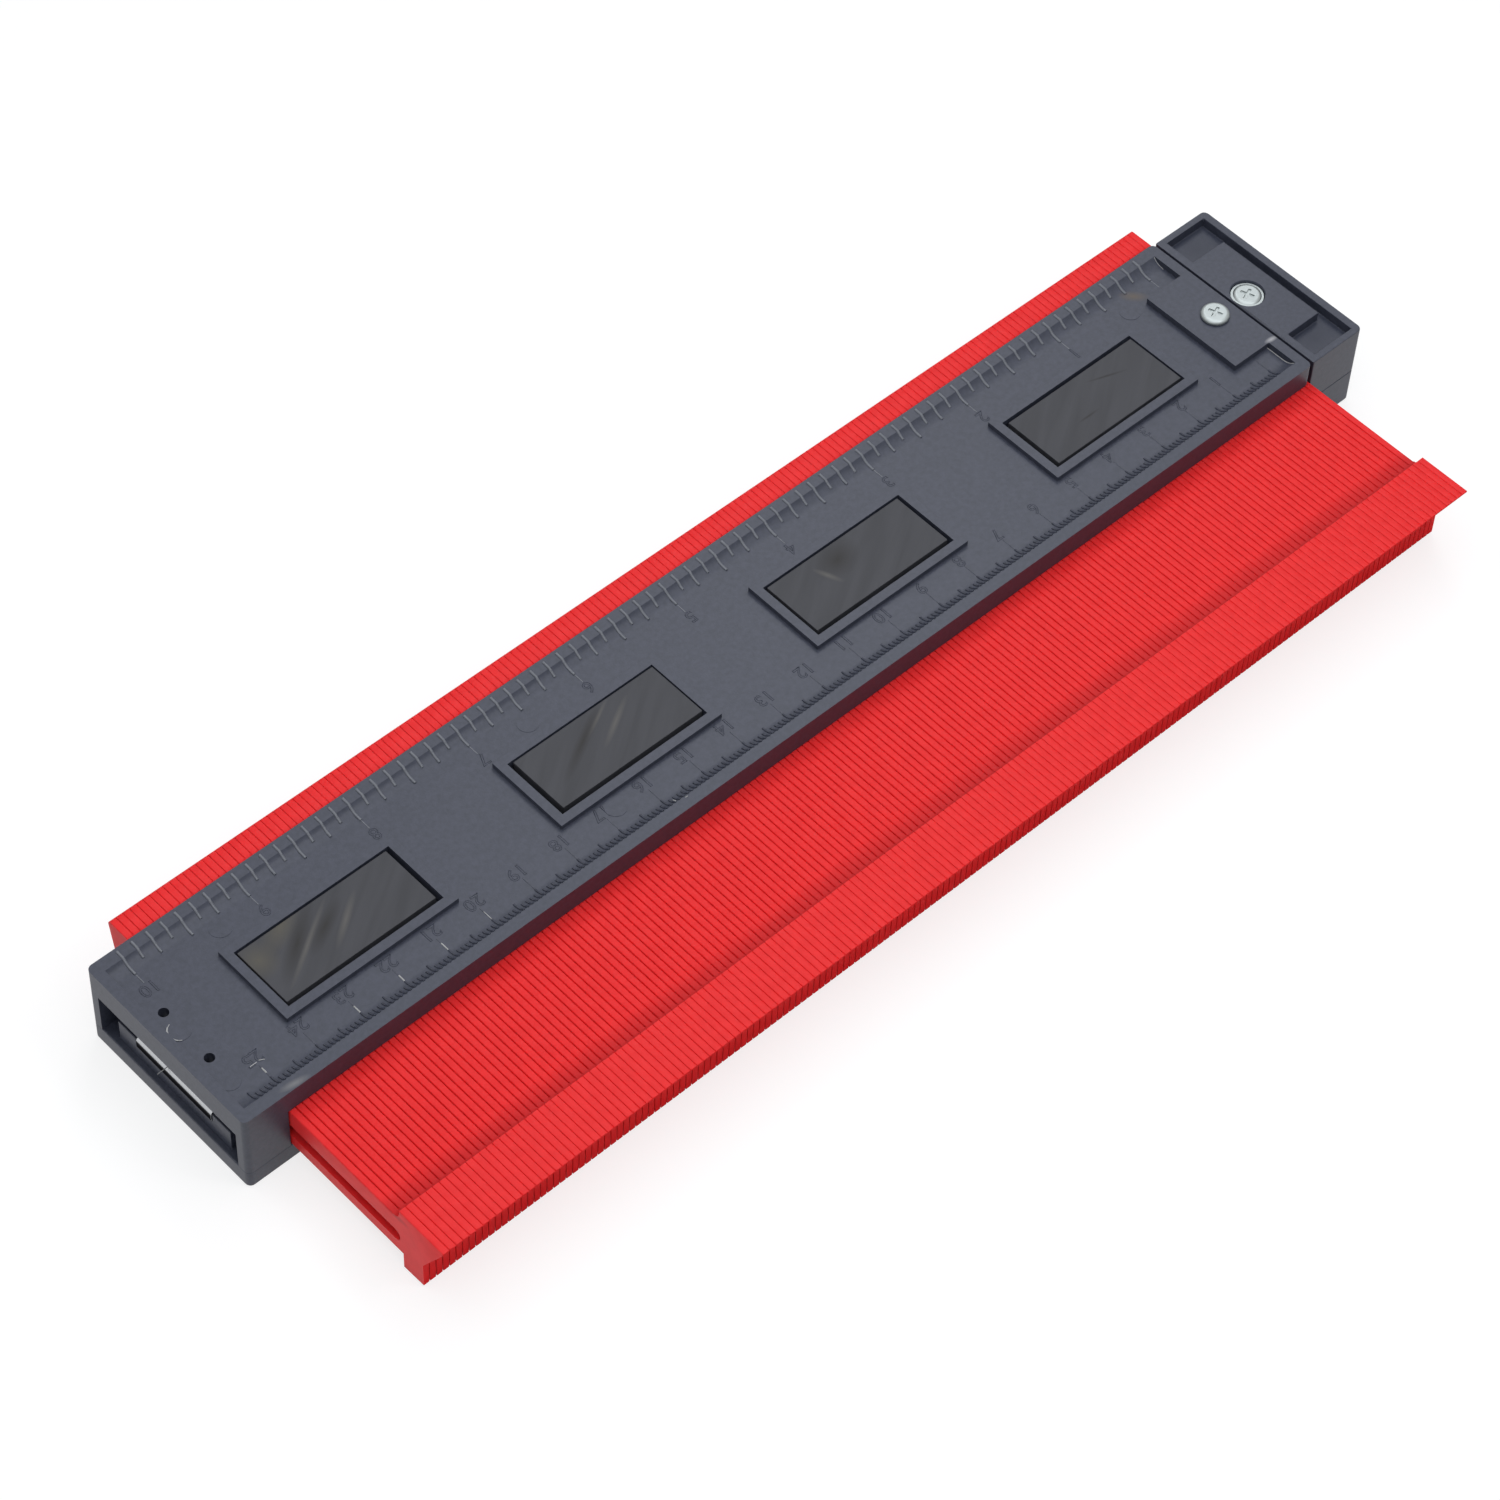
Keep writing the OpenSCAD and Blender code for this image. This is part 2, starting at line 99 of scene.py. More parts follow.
def blend(nodes, links, factor, low, high, target):
    """Feeds target with low where factor is 0 and high where it is 1."""
    mix = nodes.new("ShaderNodeMapRange")
    mix.inputs["To Min"].default_value = low
    mix.inputs["To Max"].default_value = high
    links.new(factor, mix.inputs["Value"])
    links.new(mix.outputs["Result"], target)


def seen_directly(nodes, links):
    """A socket that is 1 for camera, mirror and glass rays, and 0 for rays that only carry light."""
    path = nodes.new("ShaderNodeLightPath")
    both = nodes.new("ShaderNodeMath")
    both.operation = "MAXIMUM"
    links.new(path.outputs["Is Camera Ray"], both.inputs[0])
    links.new(path.outputs["Is Glossy Ray"], both.inputs[1])
    every = nodes.new("ShaderNodeMath")
    every.operation = "MAXIMUM"
    links.new(both.outputs[0], every.inputs[0])
    links.new(path.outputs["Is Transmission Ray"], every.inputs[1])
    return every.outputs[0]


world = bpy.data.worlds.new("white studio")
bpy.context.scene.world = world
world.use_nodes = True
nodes, links = world.node_tree.nodes, world.node_tree.links
sky = nodes["Background"]
sky.inputs["Color"].default_value = (1, 1, 1, 1)
blend(nodes, links, seen_directly(nodes, links), WORLD_LEVEL, WHITE, sky.inputs["Strength"])
print("world lights at", WORLD_LEVEL)

# %% [markdown]
# The lamps.
# A large soft box hangs over the gauge, so the faces towards the camera stay dark. A second, weak one stands
# where the middle of the top mirrors it to the camera, which gives the sheen that fades towards both ends. A
# third, on the near side, lights the far hollow edge, and a white card stands at the left end. Area lamps
# give such soft light, where sun or point lamps would throw hard shadows.

# %% Lamps
# name, side in m, power in W, place in m
LAMPS = (("overhead", 1.0, 5.0, Vector((-0.02, -0.06, 0.65))),
         ("sheen", 0.3, 1.05, Vector((0.48, 0.43, 0.72))),
         ("fill", 0.18, 0.6, Vector((0.25, -0.5, 0.75))),
         ("bounce", 0.4, 0.15, Vector((-0.55, -0.1, 0.25))))
LAMP_COLOUR = (0.95, 0.97, 1.0)
for name, side, power, place in LAMPS:
    bpy.ops.object.light_add(type="AREA", location=place)
    lamp = bpy.context.object
    lamp.name = name
    lamp.data.size = side
    lamp.data.energy = power
    lamp.data.color = LAMP_COLOUR
    lamp.rotation_euler = (-place).to_track_quat("-Z", "Y").to_euler()
print(len(LAMPS), "lamps made")

# %% [markdown]
# The floor.
# The gauge lies on white paper that throws light back on its sides. A hair of room under the gauge keeps the
# two from sharing a plane. To the camera the paper is darker and glows, so that it shows as white and still
# keeps the shadow, which a plain white floor under soft light would lose.

# %% Floor
FLOOR_SIDE, FLOOR_DROP = 6, 0.0002  # m
PAPER_WHITE, FLOOR_SEEN, FLOOR_GLOW = 0.86, 0.3, 0.75
bpy.ops.mesh.primitive_plane_add(size=FLOOR_SIDE, location=(0, 0, -FLOOR_DROP))
floor = bpy.context.object
floor.name = "floor"
floor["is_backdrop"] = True
paper = bpy.data.materials.new("white paper")
paper.use_nodes = True
nodes, links = paper.node_tree.nodes, paper.node_tree.links
paper_skin = nodes["Principled BSDF"]
paper_skin.inputs["Roughness"].default_value = 1.0
paper_skin.inputs["Specular IOR Level"].default_value = 0.0
paper_skin.inputs["Emission Color"].default_value = (1, 1, 1, 1)
seen = seen_directly(nodes, links)
blend(nodes, links, seen, PAPER_WHITE, FLOOR_SEEN, paper_skin.inputs["Base Color"])
blend(nodes, links, seen, 0.0, FLOOR_GLOW, paper_skin.inputs["Emission Strength"])
floor.data.materials.append(paper)
print("floor made")

# %% [markdown]
# Places.
# Sizes below are in millimetres, and become metres where Blender is given them. The box of a CAD node could
# be typed in by hand, but reading it from the frame keeps each piece on its node.

# %% Helpers: places of the CAD nodes
TINY = 0.02  # mm, closer points count as one place


def node_box(node):
    """The lowest and highest corner of a CAD node, in millimetres."""
    low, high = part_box(node)
    return low / MM, high / MM


def node_middle(node):
    """The middle of a CAD node's box, in millimetres."""
    low, high = node_box(node)
    return (low + high) / 2


cap_top = node_box("cap_upper")[1]
print("top of the cap at", round(cap_top.z, 2), "mm")

# %% [markdown]
# The finishes.
# The body is a satin grey moulding with a fine speckle, the leaves are satin red plastic, the magnets are
# ground ferrite and the screws are plated steel. Procedural noise in object coordinates keeps each pattern
# fixed to its piece at its real size, which a picture texture would not.

# %% Helpers: surface, speckle and bumps
def new_skin(name, colour, roughness, metallic=0.0, shine=0.5):
    """A material with its main surface node, and short names for its nodes and links."""
    skin = bpy.data.materials.new(name)
    skin.use_nodes = True
    surface = skin.node_tree.nodes["Principled BSDF"]
    surface.inputs["Specular IOR Level"].default_value = shine
    surface.inputs["Base Color"].default_value = (*colour, 1)
    surface.inputs["Roughness"].default_value = roughness
    surface.inputs["Metallic"].default_value = metallic
    return skin, skin.node_tree.nodes, skin.node_tree.links, surface


def speckle(nodes, links, grain_mm, detail=2.0):
    """Noise whose grains are about grain_mm across."""
    place = nodes.new("ShaderNodeTexCoord")
    noise = nodes.new("ShaderNodeTexNoise")
    noise.inputs["Scale"].default_value = 1 / (grain_mm * MM)
    noise.inputs["Detail"].default_value = detail
    links.new(place.outputs["Object"], noise.inputs["Vector"])
    return noise.outputs["Fac"]


def tint(nodes, links, factor, low, high, surface):
    """Colours a surface with two tones that are blended by factor."""
    ramp = nodes.new("ShaderNodeValToRGB")
    ramp.color_ramp.elements[0].position = 0.3
    ramp.color_ramp.elements[1].position = 0.7
    ramp.color_ramp.elements[0].color = (*low, 1)
    ramp.color_ramp.elements[1].color = (*high, 1)
    links.new(factor, ramp.inputs["Fac"])
    links.new(ramp.outputs["Color"], surface.inputs["Base Color"])


def roughen(nodes, links, height, surface, depth_mm, strength=0.3):
    """Bumps the surface by a height pattern."""
    bump = nodes.new("ShaderNodeBump")
    bump.inputs["Strength"].default_value = strength
    bump.inputs["Distance"].default_value = depth_mm * MM
    links.new(height, bump.inputs["Height"])
    links.new(bump.outputs["Normal"], surface.inputs["Normal"])


print("surface helpers ready")

# %% [markdown]
# Stains and painted shade.
# Smudges, scuffs, grinding strokes and painted shade lie at one place of a piece. They could be painted on a
# picture, but a soft round gradient that a Mapping node stretches and turns needs only a place and a reach.

# %% Helpers: stains and painted shade
def stain(nodes, links, surface, colour, place, reach, turn=0.0):
    """Lays a soft spot of colour, placed and measured in mm, over what colours the surface now."""
    where = nodes.new("ShaderNodeTexCoord")
    fit = nodes.new("ShaderNodeMapping")
    fit.vector_type = "TEXTURE"
    fit.inputs["Location"].default_value = Vector(place) * MM
    fit.inputs["Rotation"].default_value = (0, 0, math.radians(turn))
    fit.inputs["Scale"].default_value = Vector((*reach, 1)) * MM
    ball = nodes.new("ShaderNodeTexGradient")
    ball.gradient_type = "SPHERICAL"
    over = nodes.new("ShaderNodeMixRGB")
    over.inputs["Color2"].default_value = (*colour, 1)
    target = surface.inputs["Base Color"]
    links.new(target.links[0].from_socket, over.inputs["Color1"])
    links.new(where.outputs["Object"], fit.inputs["Vector"])
    links.new(fit.outputs["Vector"], ball.inputs["Vector"])
    links.new(ball.outputs["Fac"], over.inputs["Fac"])
    links.new(over.outputs["Color"], target)


print("stains ready")

# %% [markdown]
# The grey plastic.
# It is moulded in a mould with a fine satin grain. Noise in colour and bump gives that grain. A smudge beside
# the screw pad and two scuffs are laid over it as stains, and painted shade darkens the cap's two pockets. The
# centimetre marks that stand proud are rubbed shiny, the inch marks are painted pale as a painted glint, and
# the flash is rubbed pale, so they get finishes of their own.

# %% Satin grey moulding
GREY, GREY_LOW, GREY_HIGH = (0.034, 0.038, 0.056), (0.033, 0.038, 0.056), (0.047, 0.052, 0.076)
COLOUR_GRAIN, BUMP_GRAIN = 0.9, 0.35
SMUDGE, SCUFF, PALE_SCUFF = (0.085, 0.066, 0.052), (0.16, 0.16, 0.17), (0.4, 0.4, 0.42)
POCKET_SHADE, POCKET_REACH = (0.014, 0.018, 0.034), (9.0, 7.0)
TRAY_SINK = 2.1
tray_z = cap_top.z - TRAY_SINK
# colour, place, reach, and turn in degrees
GREY_STAINS_AND_PAINTED_SHADE = ((SMUDGE, (121.2, 15.0, 18.4), (3.4, 1.5), -45),
               (SCUFF, (-121.6, -20.8, 19.8), (3.4, 0.9), -7),
               # the two POCKET_SHADE spots are painted shade that darkens the floors of the cap's two pockets
               (POCKET_SHADE, (140.6, -16.0, tray_z), POCKET_REACH, 0),
               (POCKET_SHADE, (140.6, 16.0, tray_z), POCKET_REACH, 0),
               (PALE_SCUFF, (132.2, -11.7, 19.8), (1.8, 0.7), -5))
moulding, nodes, links, surface = new_skin("satin grey moulding", GREY, roughness=0.42, shine=0.36)
tint(nodes, links, speckle(nodes, links, COLOUR_GRAIN, detail=4), GREY_LOW, GREY_HIGH, surface)
roughen(nodes, links, speckle(nodes, links, BUMP_GRAIN), surface, depth_mm=0.05)
for spot in GREY_STAINS_AND_PAINTED_SHADE:
    stain(nodes, links, surface, *spot)
print(moulding.name, "with", len(GREY_STAINS_AND_PAINTED_SHADE), "stains")

# %% Polished marks, painted glint marks and rubbed flash
POLISH = 0.24
polished = moulding.copy()
polished.name = "polished grey moulding"
polished.node_tree.nodes["Principled BSDF"].inputs["Roughness"].default_value = POLISH
# the inch marks get a paler colour as a painted glint, standing in for light caught on their rounded tops
glint_painted_skin, nodes, links, surface = new_skin("marks with painted glint", (0.11, 0.118, 0.14), roughness=0.3)
tint(nodes, links, speckle(nodes, links, COLOUR_GRAIN), (0.1, 0.108, 0.13), (0.12, 0.128, 0.15), surface)
rubbed, nodes, links, surface = new_skin("rubbed plastic", (0.36, 0.36, 0.36), roughness=0.4)
tint(nodes, links, speckle(nodes, links, COLOUR_GRAIN), (0.33, 0.33, 0.33), (0.39, 0.39, 0.39), surface)
print(", ".join(skin.name for skin in (polished, glint_painted_skin, rubbed)))

# %% [markdown]
# The red plastic.
# The leaves are moulded in a plastic that lets a little light through, which Subsurface gives. Their tops are
# satin and their fronts dull, so the gloss follows the way a face looks. Painted shade darkens the hollow at
# the foot of the pads, all along the row, as one long soft band.

# %% Red leaf plastic
RED, RED_LOW, RED_HIGH = (0.84, 0.03, 0.032), (0.81, 0.027, 0.029), (0.87, 0.033, 0.035)
RED_GRAIN = 2.5
TOP_SHINE, FRONT_SHINE = 0.14, 0.0
HOLLOW_PAINTED_SHADE, PAINTED_SHADE_REACH = (0.46, 0.014, 0.016), 4.5
HOLLOW_Y, HOLLOW_Z, ALL_ALONG = -49.2, 14.6, 1e5
GLOW_SHARE, GLOW_BY_COLOUR, GLOW_DEPTH = 0.25, (1.0, 0.12, 0.12), 1.0


def facing(nodes, links, axis, power):
    """A socket that is 1 on faces square to an axis, and falls off with their lean."""
    shape = nodes.new("ShaderNodeNewGeometry")
    parts = nodes.new("ShaderNodeSeparateXYZ")
    size = nodes.new("ShaderNodeMath")
    size.operation = "ABSOLUTE"
    fall = nodes.new("ShaderNodeMath")
    fall.operation = "POWER"
    fall.inputs[1].default_value = power
    links.new(shape.outputs["Normal"], parts.inputs["Vector"])
    links.new(parts.outputs[axis], size.inputs[0])
    links.new(size.outputs[0], fall.inputs[0])
    return fall.outputs[0]


red, nodes, links, surface = new_skin("red leaf plastic", RED, roughness=0.45)
front = facing(nodes, links, "Y", 1)
blend(nodes, links, front, TOP_SHINE, FRONT_SHINE, surface.inputs["Specular IOR Level"])
tint(nodes, links, speckle(nodes, links, RED_GRAIN), RED_LOW, RED_HIGH, surface)
# painted shade: a darker red band along the hollow at the foot of the pads
stain(nodes, links, surface, HOLLOW_PAINTED_SHADE, (0, HOLLOW_Y, HOLLOW_Z), (ALL_ALONG, PAINTED_SHADE_REACH))
surface.inputs["Subsurface Weight"].default_value = GLOW_SHARE
surface.inputs["Subsurface Radius"].default_value = GLOW_BY_COLOUR
surface.inputs["Subsurface Scale"].default_value = GLOW_DEPTH * MM
print(red.name)

# %% [markdown]
# The ferrite.
# A ferrite magnet is ground flat, which leaves fine lines at one angle and broader pale and dark strokes.
# Noise that is stretched along that angle gives the lines, and long thin stains give the strokes.

# %% Ground ferrite
FERRITE, FERRITE_LOW, FERRITE_HIGH = (0.05, 0.048, 0.049), (0.042, 0.043, 0.049), (0.056, 0.057, 0.065)
GRIND_TURN, GRIND_Z = -34, 19.4


def streaks(nodes, links, turn, long_mm, wide_mm):
    """Noise drawn out into streaks that lie at an angle to the row."""
    place = nodes.new("ShaderNodeTexCoord")
    spin = nodes.new("ShaderNodeVectorRotate")
    spin.rotation_type = "Z_AXIS"
    spin.inputs["Angle"].default_value = math.radians(turn)
    stretch = nodes.new("ShaderNodeVectorMath")
    stretch.operation = "MULTIPLY"
    stretch.inputs[1].default_value = (1 / (long_mm * MM), 1 / (wide_mm * MM), 1)
    noise = nodes.new("ShaderNodeTexNoise")
    noise.inputs["Scale"].default_value = 1.0
    noise.inputs["Detail"].default_value = 3.0
    noise.inputs["Distortion"].default_value = 0.4
    links.new(place.outputs["Object"], spin.inputs["Vector"])
    links.new(spin.outputs["Vector"], stretch.inputs[0])
    links.new(stretch.outputs["Vector"], noise.inputs["Vector"])
    return noise.outputs["Fac"]


ferrite, nodes, links, surface = new_skin("ground ferrite", FERRITE, roughness=0.5, shine=0.22)
bands = streaks(nodes, links, GRIND_TURN, long_mm=26, wide_mm=3.0)
tint(nodes, links, bands, FERRITE_LOW, FERRITE_HIGH, surface)
lines = streaks(nodes, links, GRIND_TURN, long_mm=9, wide_mm=0.25)
roughen(nodes, links, lines, surface, depth_mm=0.03)
PALE, DARK, WARM = (0.1, 0.096, 0.092), (0.02, 0.019, 0.019), (0.085, 0.079, 0.066)
# colour, x, y, length, width, and turn in degrees
STROKES = ((WARM, -102.5, 6.5, 6.5, 3.0, 30), (WARM, -109.8, 3.4, 4.0, 4.5, 0),
           (DARK, -102.5, 1.8, 10.0, 2.2, 39), (PALE, -101.0, 0.6, 11.0, 0.7, 34),
           (DARK, -96.5, 1.5, 7.0, 1.8, 30), (PALE, -92.7, 0.3, 7.0, 0.9, 37),
           (PALE, -30.0, 4.7, 5.5, 0.5, 28), (DARK, -35.3, 2.5, 11.0, 1.3, 30),
           (PALE, -27.8, 2.0, 7.0, 0.8, 31), (DARK, 29.3, 3.5, 6.0, 4.0, 20),
           (PALE, 25.3, 1.8, 3.5, 0.8, -68), (DARK, 101.0, 3.0, 5.0, 0.35, -19),
           (DARK, 90.9, -2.1, 3.2, 0.35, 0))
for colour, x, y, long_mm, wide_mm, turn in STROKES:
    stain(nodes, links, surface, colour, (x, y, GRIND_Z), (long_mm, wide_mm), turn)
print(ferrite.name, "with", len(STROKES), "strokes")

# %% [markdown]
# The metals.
# The screws are plated steel, a little uneven. The guide bar is drawn aluminium whose cropped end is dull and
# is painted near black as painted shade of the deep socket, so its colour, metal and gloss change on the faces
# that look along the row.

# %% Plated steel and drawn aluminium
STEEL, ALUMINIUM = (0.3, 0.327, 0.327), (0.62, 0.63, 0.65)
BAR_SIDE, BAR_END_PAINTED_SHADE = (0.5, 0.51, 0.53), (0.01, 0.01, 0.012)
steel, nodes, links, surface = new_skin("plated steel", STEEL, roughness=0.42, metallic=1.0)
roughen(nodes, links, speckle(nodes, links, 0.5), surface, depth_mm=0.02, strength=0.15)
aluminium, nodes, links, surface = new_skin("drawn aluminium", ALUMINIUM, roughness=0.32, metallic=1.0)
roughen(nodes, links, speckle(nodes, links, 0.4), surface, depth_mm=0.02, strength=0.15)
# the bar's end faces are painted near black as painted shade of the socket they sit in
end_in_painted_shade = facing(nodes, links, "X", 12)
tint(nodes, links, end_in_painted_shade, BAR_SIDE, BAR_END_PAINTED_SHADE, surface)
blend(nodes, links, end_in_painted_shade, 1.0, 0.0, surface.inputs["Metallic"])
blend(nodes, links, end_in_painted_shade, 0.5, 0.0, surface.inputs["Specular IOR Level"])
print(steel.name, "and", aluminium.name)

# %% [markdown]
# Small helpers.
# Each helper is one thing done by hand in Blender: add a block between two corners, open it in edit mode with
# some faces or edges selected, extrude them, bevel them. A rule on the corners of a face picks it by its
# place, which still holds when faces are added, as a face's number would not.

# %% Helpers: object mode and blocks
def start_clean():
    """Back to object mode with nothing selected."""
    if bpy.context.mode != "OBJECT":
        bpy.ops.object.mode_set(mode="OBJECT")
    bpy.ops.object.select_all(action="DESELECT")


def activate(piece):
    """Makes piece the only selected object."""
    start_clean()
    piece.select_set(True)
    bpy.context.view_layer.objects.active = piece


def settle(piece):
    """Moves the object's place, turn and scale into its mesh."""
    activate(piece)
    bpy.ops.object.transform_apply(location=True, rotation=True, scale=True)
    return piece


def block(name, low, high):
    """A box from its lowest corner to its highest."""
    start_clean()
    low, high = Vector(low) * MM, Vector(high) * MM
    bpy.ops.mesh.primitive_cube_add(size=1, location=(low + high) / 2)
    piece = bpy.context.object
    piece.name = name
    piece.scale = high - low
    return settle(piece)


print("blocks ready")

# %% Helpers: edit mode
def pick(piece, kind, rule):
    """Opens piece in edit mode with those faces or edges selected whose corners, in mm, pass rule."""
    activate(piece)
    bpy.ops.object.mode_set(mode="EDIT")
    bpy.ops.mesh.select_mode(type=kind)
    bpy.ops.mesh.select_all(action="DESELECT")
    shape = bmesh.from_edit_mesh(piece.data)
    for part in shape.faces if kind == "FACE" else shape.edges:
        if rule([corner.co / MM for corner in part.verts]):
            part.select_set(True)
    bmesh.update_edit_mesh(piece.data)


def pick_all(piece):
    """Opens piece in edit mode with all of it selected."""
    pick(piece, "FACE", lambda c: True)


def done():
    """Closes edit mode."""
    bpy.ops.object.mode_set(mode="OBJECT")


def pull(x=0, y=0, z=0):
    """Extrudes what is selected."""
    bpy.ops.mesh.extrude_region_move(TRANSFORM_OT_translate={"value": (x * MM, y * MM, z * MM)})


def round_edges(piece, rule, radius, steps=4, profile=0.5):
    """Bevels the edges that pass rule."""
    pick(piece, "EDGE", rule)
    bpy.ops.mesh.bevel(offset=radius * MM, segments=steps, profile=profile, affect="EDGES")
    done()


def along(axis, c):
    """True for an edge that runs along axis 0, 1 or 2."""
    run = c[1] - c[0]
    return abs(run[axis]) > TINY and all(abs(run[i]) < TINY for i in range(3) if i != axis)


print("edit mode helpers ready")

# %% [markdown]
# The upper shell.
# The top of the body is one moulding: a flat roof over the leaves and a solid block at the closed end. It
# starts as the roof slab. A bisect marks off the end block, which is then extruded down as one face, so the
# two stay one skin. The upright corners are rounded before anything is cut.

# %% Upper shell: roof and end block
shell_low, shell_high = node_box("upper_shell")
ROOF_THICK = 5.3
roof_under = shell_high.z - ROOF_THICK
row_low, row_high = node_box("leaf_bank_01")
END_GAP = 0.236
end_block_x = row_low.x - END_GAP
CORNER, CORNER_STEPS = 1.2, 5


def at_corner(low, high):
    """A rule for the upright edges on the four corners of a box."""
    def rule(c):
        on_x = min(abs(c[0].x - low.x), abs(c[0].x - high.x)) < TINY
        on_y = min(abs(c[0].y - low.y), abs(c[0].y - high.y)) < TINY
        return along(2, c) and on_x and on_y
    return rule


shell = block("body_upper", (shell_low.x, shell_low.y, roof_under), shell_high)
pick_all(shell)
bpy.ops.mesh.bisect(plane_co=(end_block_x * MM, 0, 0), plane_no=(1, 0, 0))
pick(shell, "FACE", lambda c: all(v.z < roof_under + TINY and v.x < end_block_x + TINY for v in c))
pull(z=shell_low.z - roof_under)
done()
round_edges(shell, at_corner(shell_low, shell_high), CORNER, CORNER_STEPS)
print("shell has", len(shell.data.polygons), "faces")

# %% [markdown]
# Cutting and joining.
# Pockets and added blocks could be extruded face by face, but where outlines cross, a Boolean modifier with a
# second shape is quicker and as exact. The second shape reaches a little past the face it meets.

# %% Helpers: cut and fuse
PAST = 1  # mm that a tool reaches beyond the face that it cuts or joins


def combine(piece, tool, how):
    """Cuts tool out of piece (DIFFERENCE) or joins it on (UNION). The tool is used up."""
    activate(piece)
    step = piece.modifiers.new("combine", "BOOLEAN")
    step.operation = how
    step.solver = "EXACT"
    step.object = tool
    bpy.ops.object.modifier_apply(modifier=step.name)
    bpy.data.objects.remove(tool)


def cut(piece, tool):
    """Takes tool away from piece."""
    combine(piece, tool, "DIFFERENCE")


def fuse(piece, tool):
    """Adds tool to piece."""
    combine(piece, tool, "UNION")


print("cut and fuse ready")

# %% [markdown]
# The ruler panel.
# The top is sunk between a rim along each side, and the edge between rim and panel is a hollow curve. A block
# whose two lower edges are rounded has that shape as its outside, so cutting it away leaves the hollow. The
# pad under the screw is first taken out of the cutter, so it stays standing in the panel.

# %% Upper shell: ruler panel
RIM_END, PANEL_SINK = 2.2, 1.4
PANEL_Y, COVE_RADIUS = 16.3, 3.5
PAD_LONG, PAD_WIDE = 9.5, 24.0
panel_z = shell_high.z - PANEL_SINK
panel_x0, panel_x1 = shell_low.x + RIM_END, shell_high.x - RIM_END
cutter = block("panel_cutter", (panel_x0, -PANEL_Y - COVE_RADIUS, panel_z),
               (panel_x1, PANEL_Y + COVE_RADIUS, panel_z + COVE_RADIUS + PAST))
round_edges(cutter, lambda c: along(0, c) and c[0].z < panel_z + TINY, COVE_RADIUS, steps=12)
pad = block("screw_pad", (panel_x1 - PAD_LONG, -PAD_WIDE / 2, panel_z - PAST),
            (panel_x1 + PAST, PAD_WIDE / 2, panel_z + COVE_RADIUS + 2 * PAST))
cut(cutter, pad)
cut(shell, cutter)
print("panel floor at", round(panel_z, 2), "mm")

# %% [markdown]
# Magnet frames.
# Each magnet lies in a pocket with a low frame round it. The frame is a block joined on, and the pocket is a
# smaller block cut out of it. The pockets are spaced evenly, but each magnet was pushed its own way when it
# was glued in, so a pocket takes only its size from its magnet and not its place.

# %% Upper shell: frames and pockets
POCKET_STEP, POCKET_GAP = 63.0, 0.65
FRAME_WIDE, FRAME_OVER = 1.9, 0.1
magnet_boxes = [node_box(f"magnet_{number}") for number in range(1, 5)]
for number, (low, high) in enumerate(magnet_boxes):
    middle_x = (number - 1.5) * POCKET_STEP
    half_x = (high.x - low.x) / 2 + POCKET_GAP
    half_y = (high.y - low.y) / 2 + POCKET_GAP
    pocket_low = Vector((middle_x - half_x, -half_y, low.z))
    pocket_high = Vector((middle_x + half_x, half_y, high.z + 2 * PAST))
    rim = Vector((FRAME_WIDE, FRAME_WIDE, 0))
    top = Vector((pocket_high.x, pocket_high.y, high.z + FRAME_OVER))
    fuse(shell, block("frame", pocket_low - rim, top + rim))
    cut(shell, block("pocket", pocket_low, pocket_high))
print(len(magnet_boxes), "pockets cut")

# %% [markdown]
# Openings of the shell.
# The closed end has a wide socket with two small holes above it, and a window where the guide bar passes. At
# the open end the cap's tongue slides in a pocket under the roof. They are all plain cutters.

# %% Upper shell: socket, holes, window and pocket
bar_low, bar_high = node_box("guide_bar")
tongue_x = node_box("cap_upper")[0].x
SOCKET_DEEP, SOCKET_WALL, LINTEL = 7.4, 2.7, 0.7
PIN_HOLE, PIN_SPACE, PIN_IN, PIN_LONG = 2.0, 12.6, 4.85, 9
FIT = 0.15
TONGUE_WIDE, TONGUE_THICK, TONGUE_UP = 18.0, 1.8, 0.1
socket_x, socket_top = shell_low.x + SOCKET_DEEP, roof_under - LINTEL


def rod(name, place, diameter, height, sides=32):
    """An upright cylinder standing on place."""
    start_clean()
    middle = (Vector(place) + Vector((0, 0, height / 2))) * MM
    bpy.ops.mesh.primitive_cylinder_add(
        vertices=sides, radius=diameter / 2 * MM, depth=height * MM, location=middle)
    piece = bpy.context.object
    piece.name = name
    return settle(piece)


cut(shell, block("socket", (shell_low.x - PAST, shell_low.y + SOCKET_WALL, shell_low.z - PAST),
                 (socket_x, shell_high.y - SOCKET_WALL, socket_top)))
for side in (-1, 1):
    hole_place = (shell_low.x + PIN_IN, side * PIN_SPACE / 2, socket_top - PAST)
    cut(shell, rod("pin_hole", hole_place, PIN_HOLE, PIN_LONG))
cut(shell, block("window", (socket_x - PAST, bar_low.y - FIT, bar_low.z - FIT),
                 (end_block_x + PAST, bar_high.y + FIT, bar_high.z + FIT)))
pocket_top = roof_under + TONGUE_UP + TONGUE_THICK + FIT
cut(shell, block("tongue_pocket", (tongue_x - 2 * FIT, -TONGUE_WIDE / 2 - FIT, roof_under - PAST),
                 (shell_high.x + PAST, TONGUE_WIDE / 2 + FIT, pocket_top)))
print("shell has", len(shell.data.polygons), "faces")

# %% [markdown]
# Soft edges.
# No moulded or ground edge is quite sharp, and a narrow round catches the light. After the cuts, a Bevel
# modifier that works by angle finds all such edges at once. Weighted normals then keep the flat faces flat.
# Points that coincide are merged first, so that every seam is closed.

# %% Helpers: soften and finish
WELD = 0.002  # mm
FLAT_ANGLE, SHARP_ANGLE, SMOOTH_ANGLE = math.radians(0.5), math.radians(35), math.radians(32)


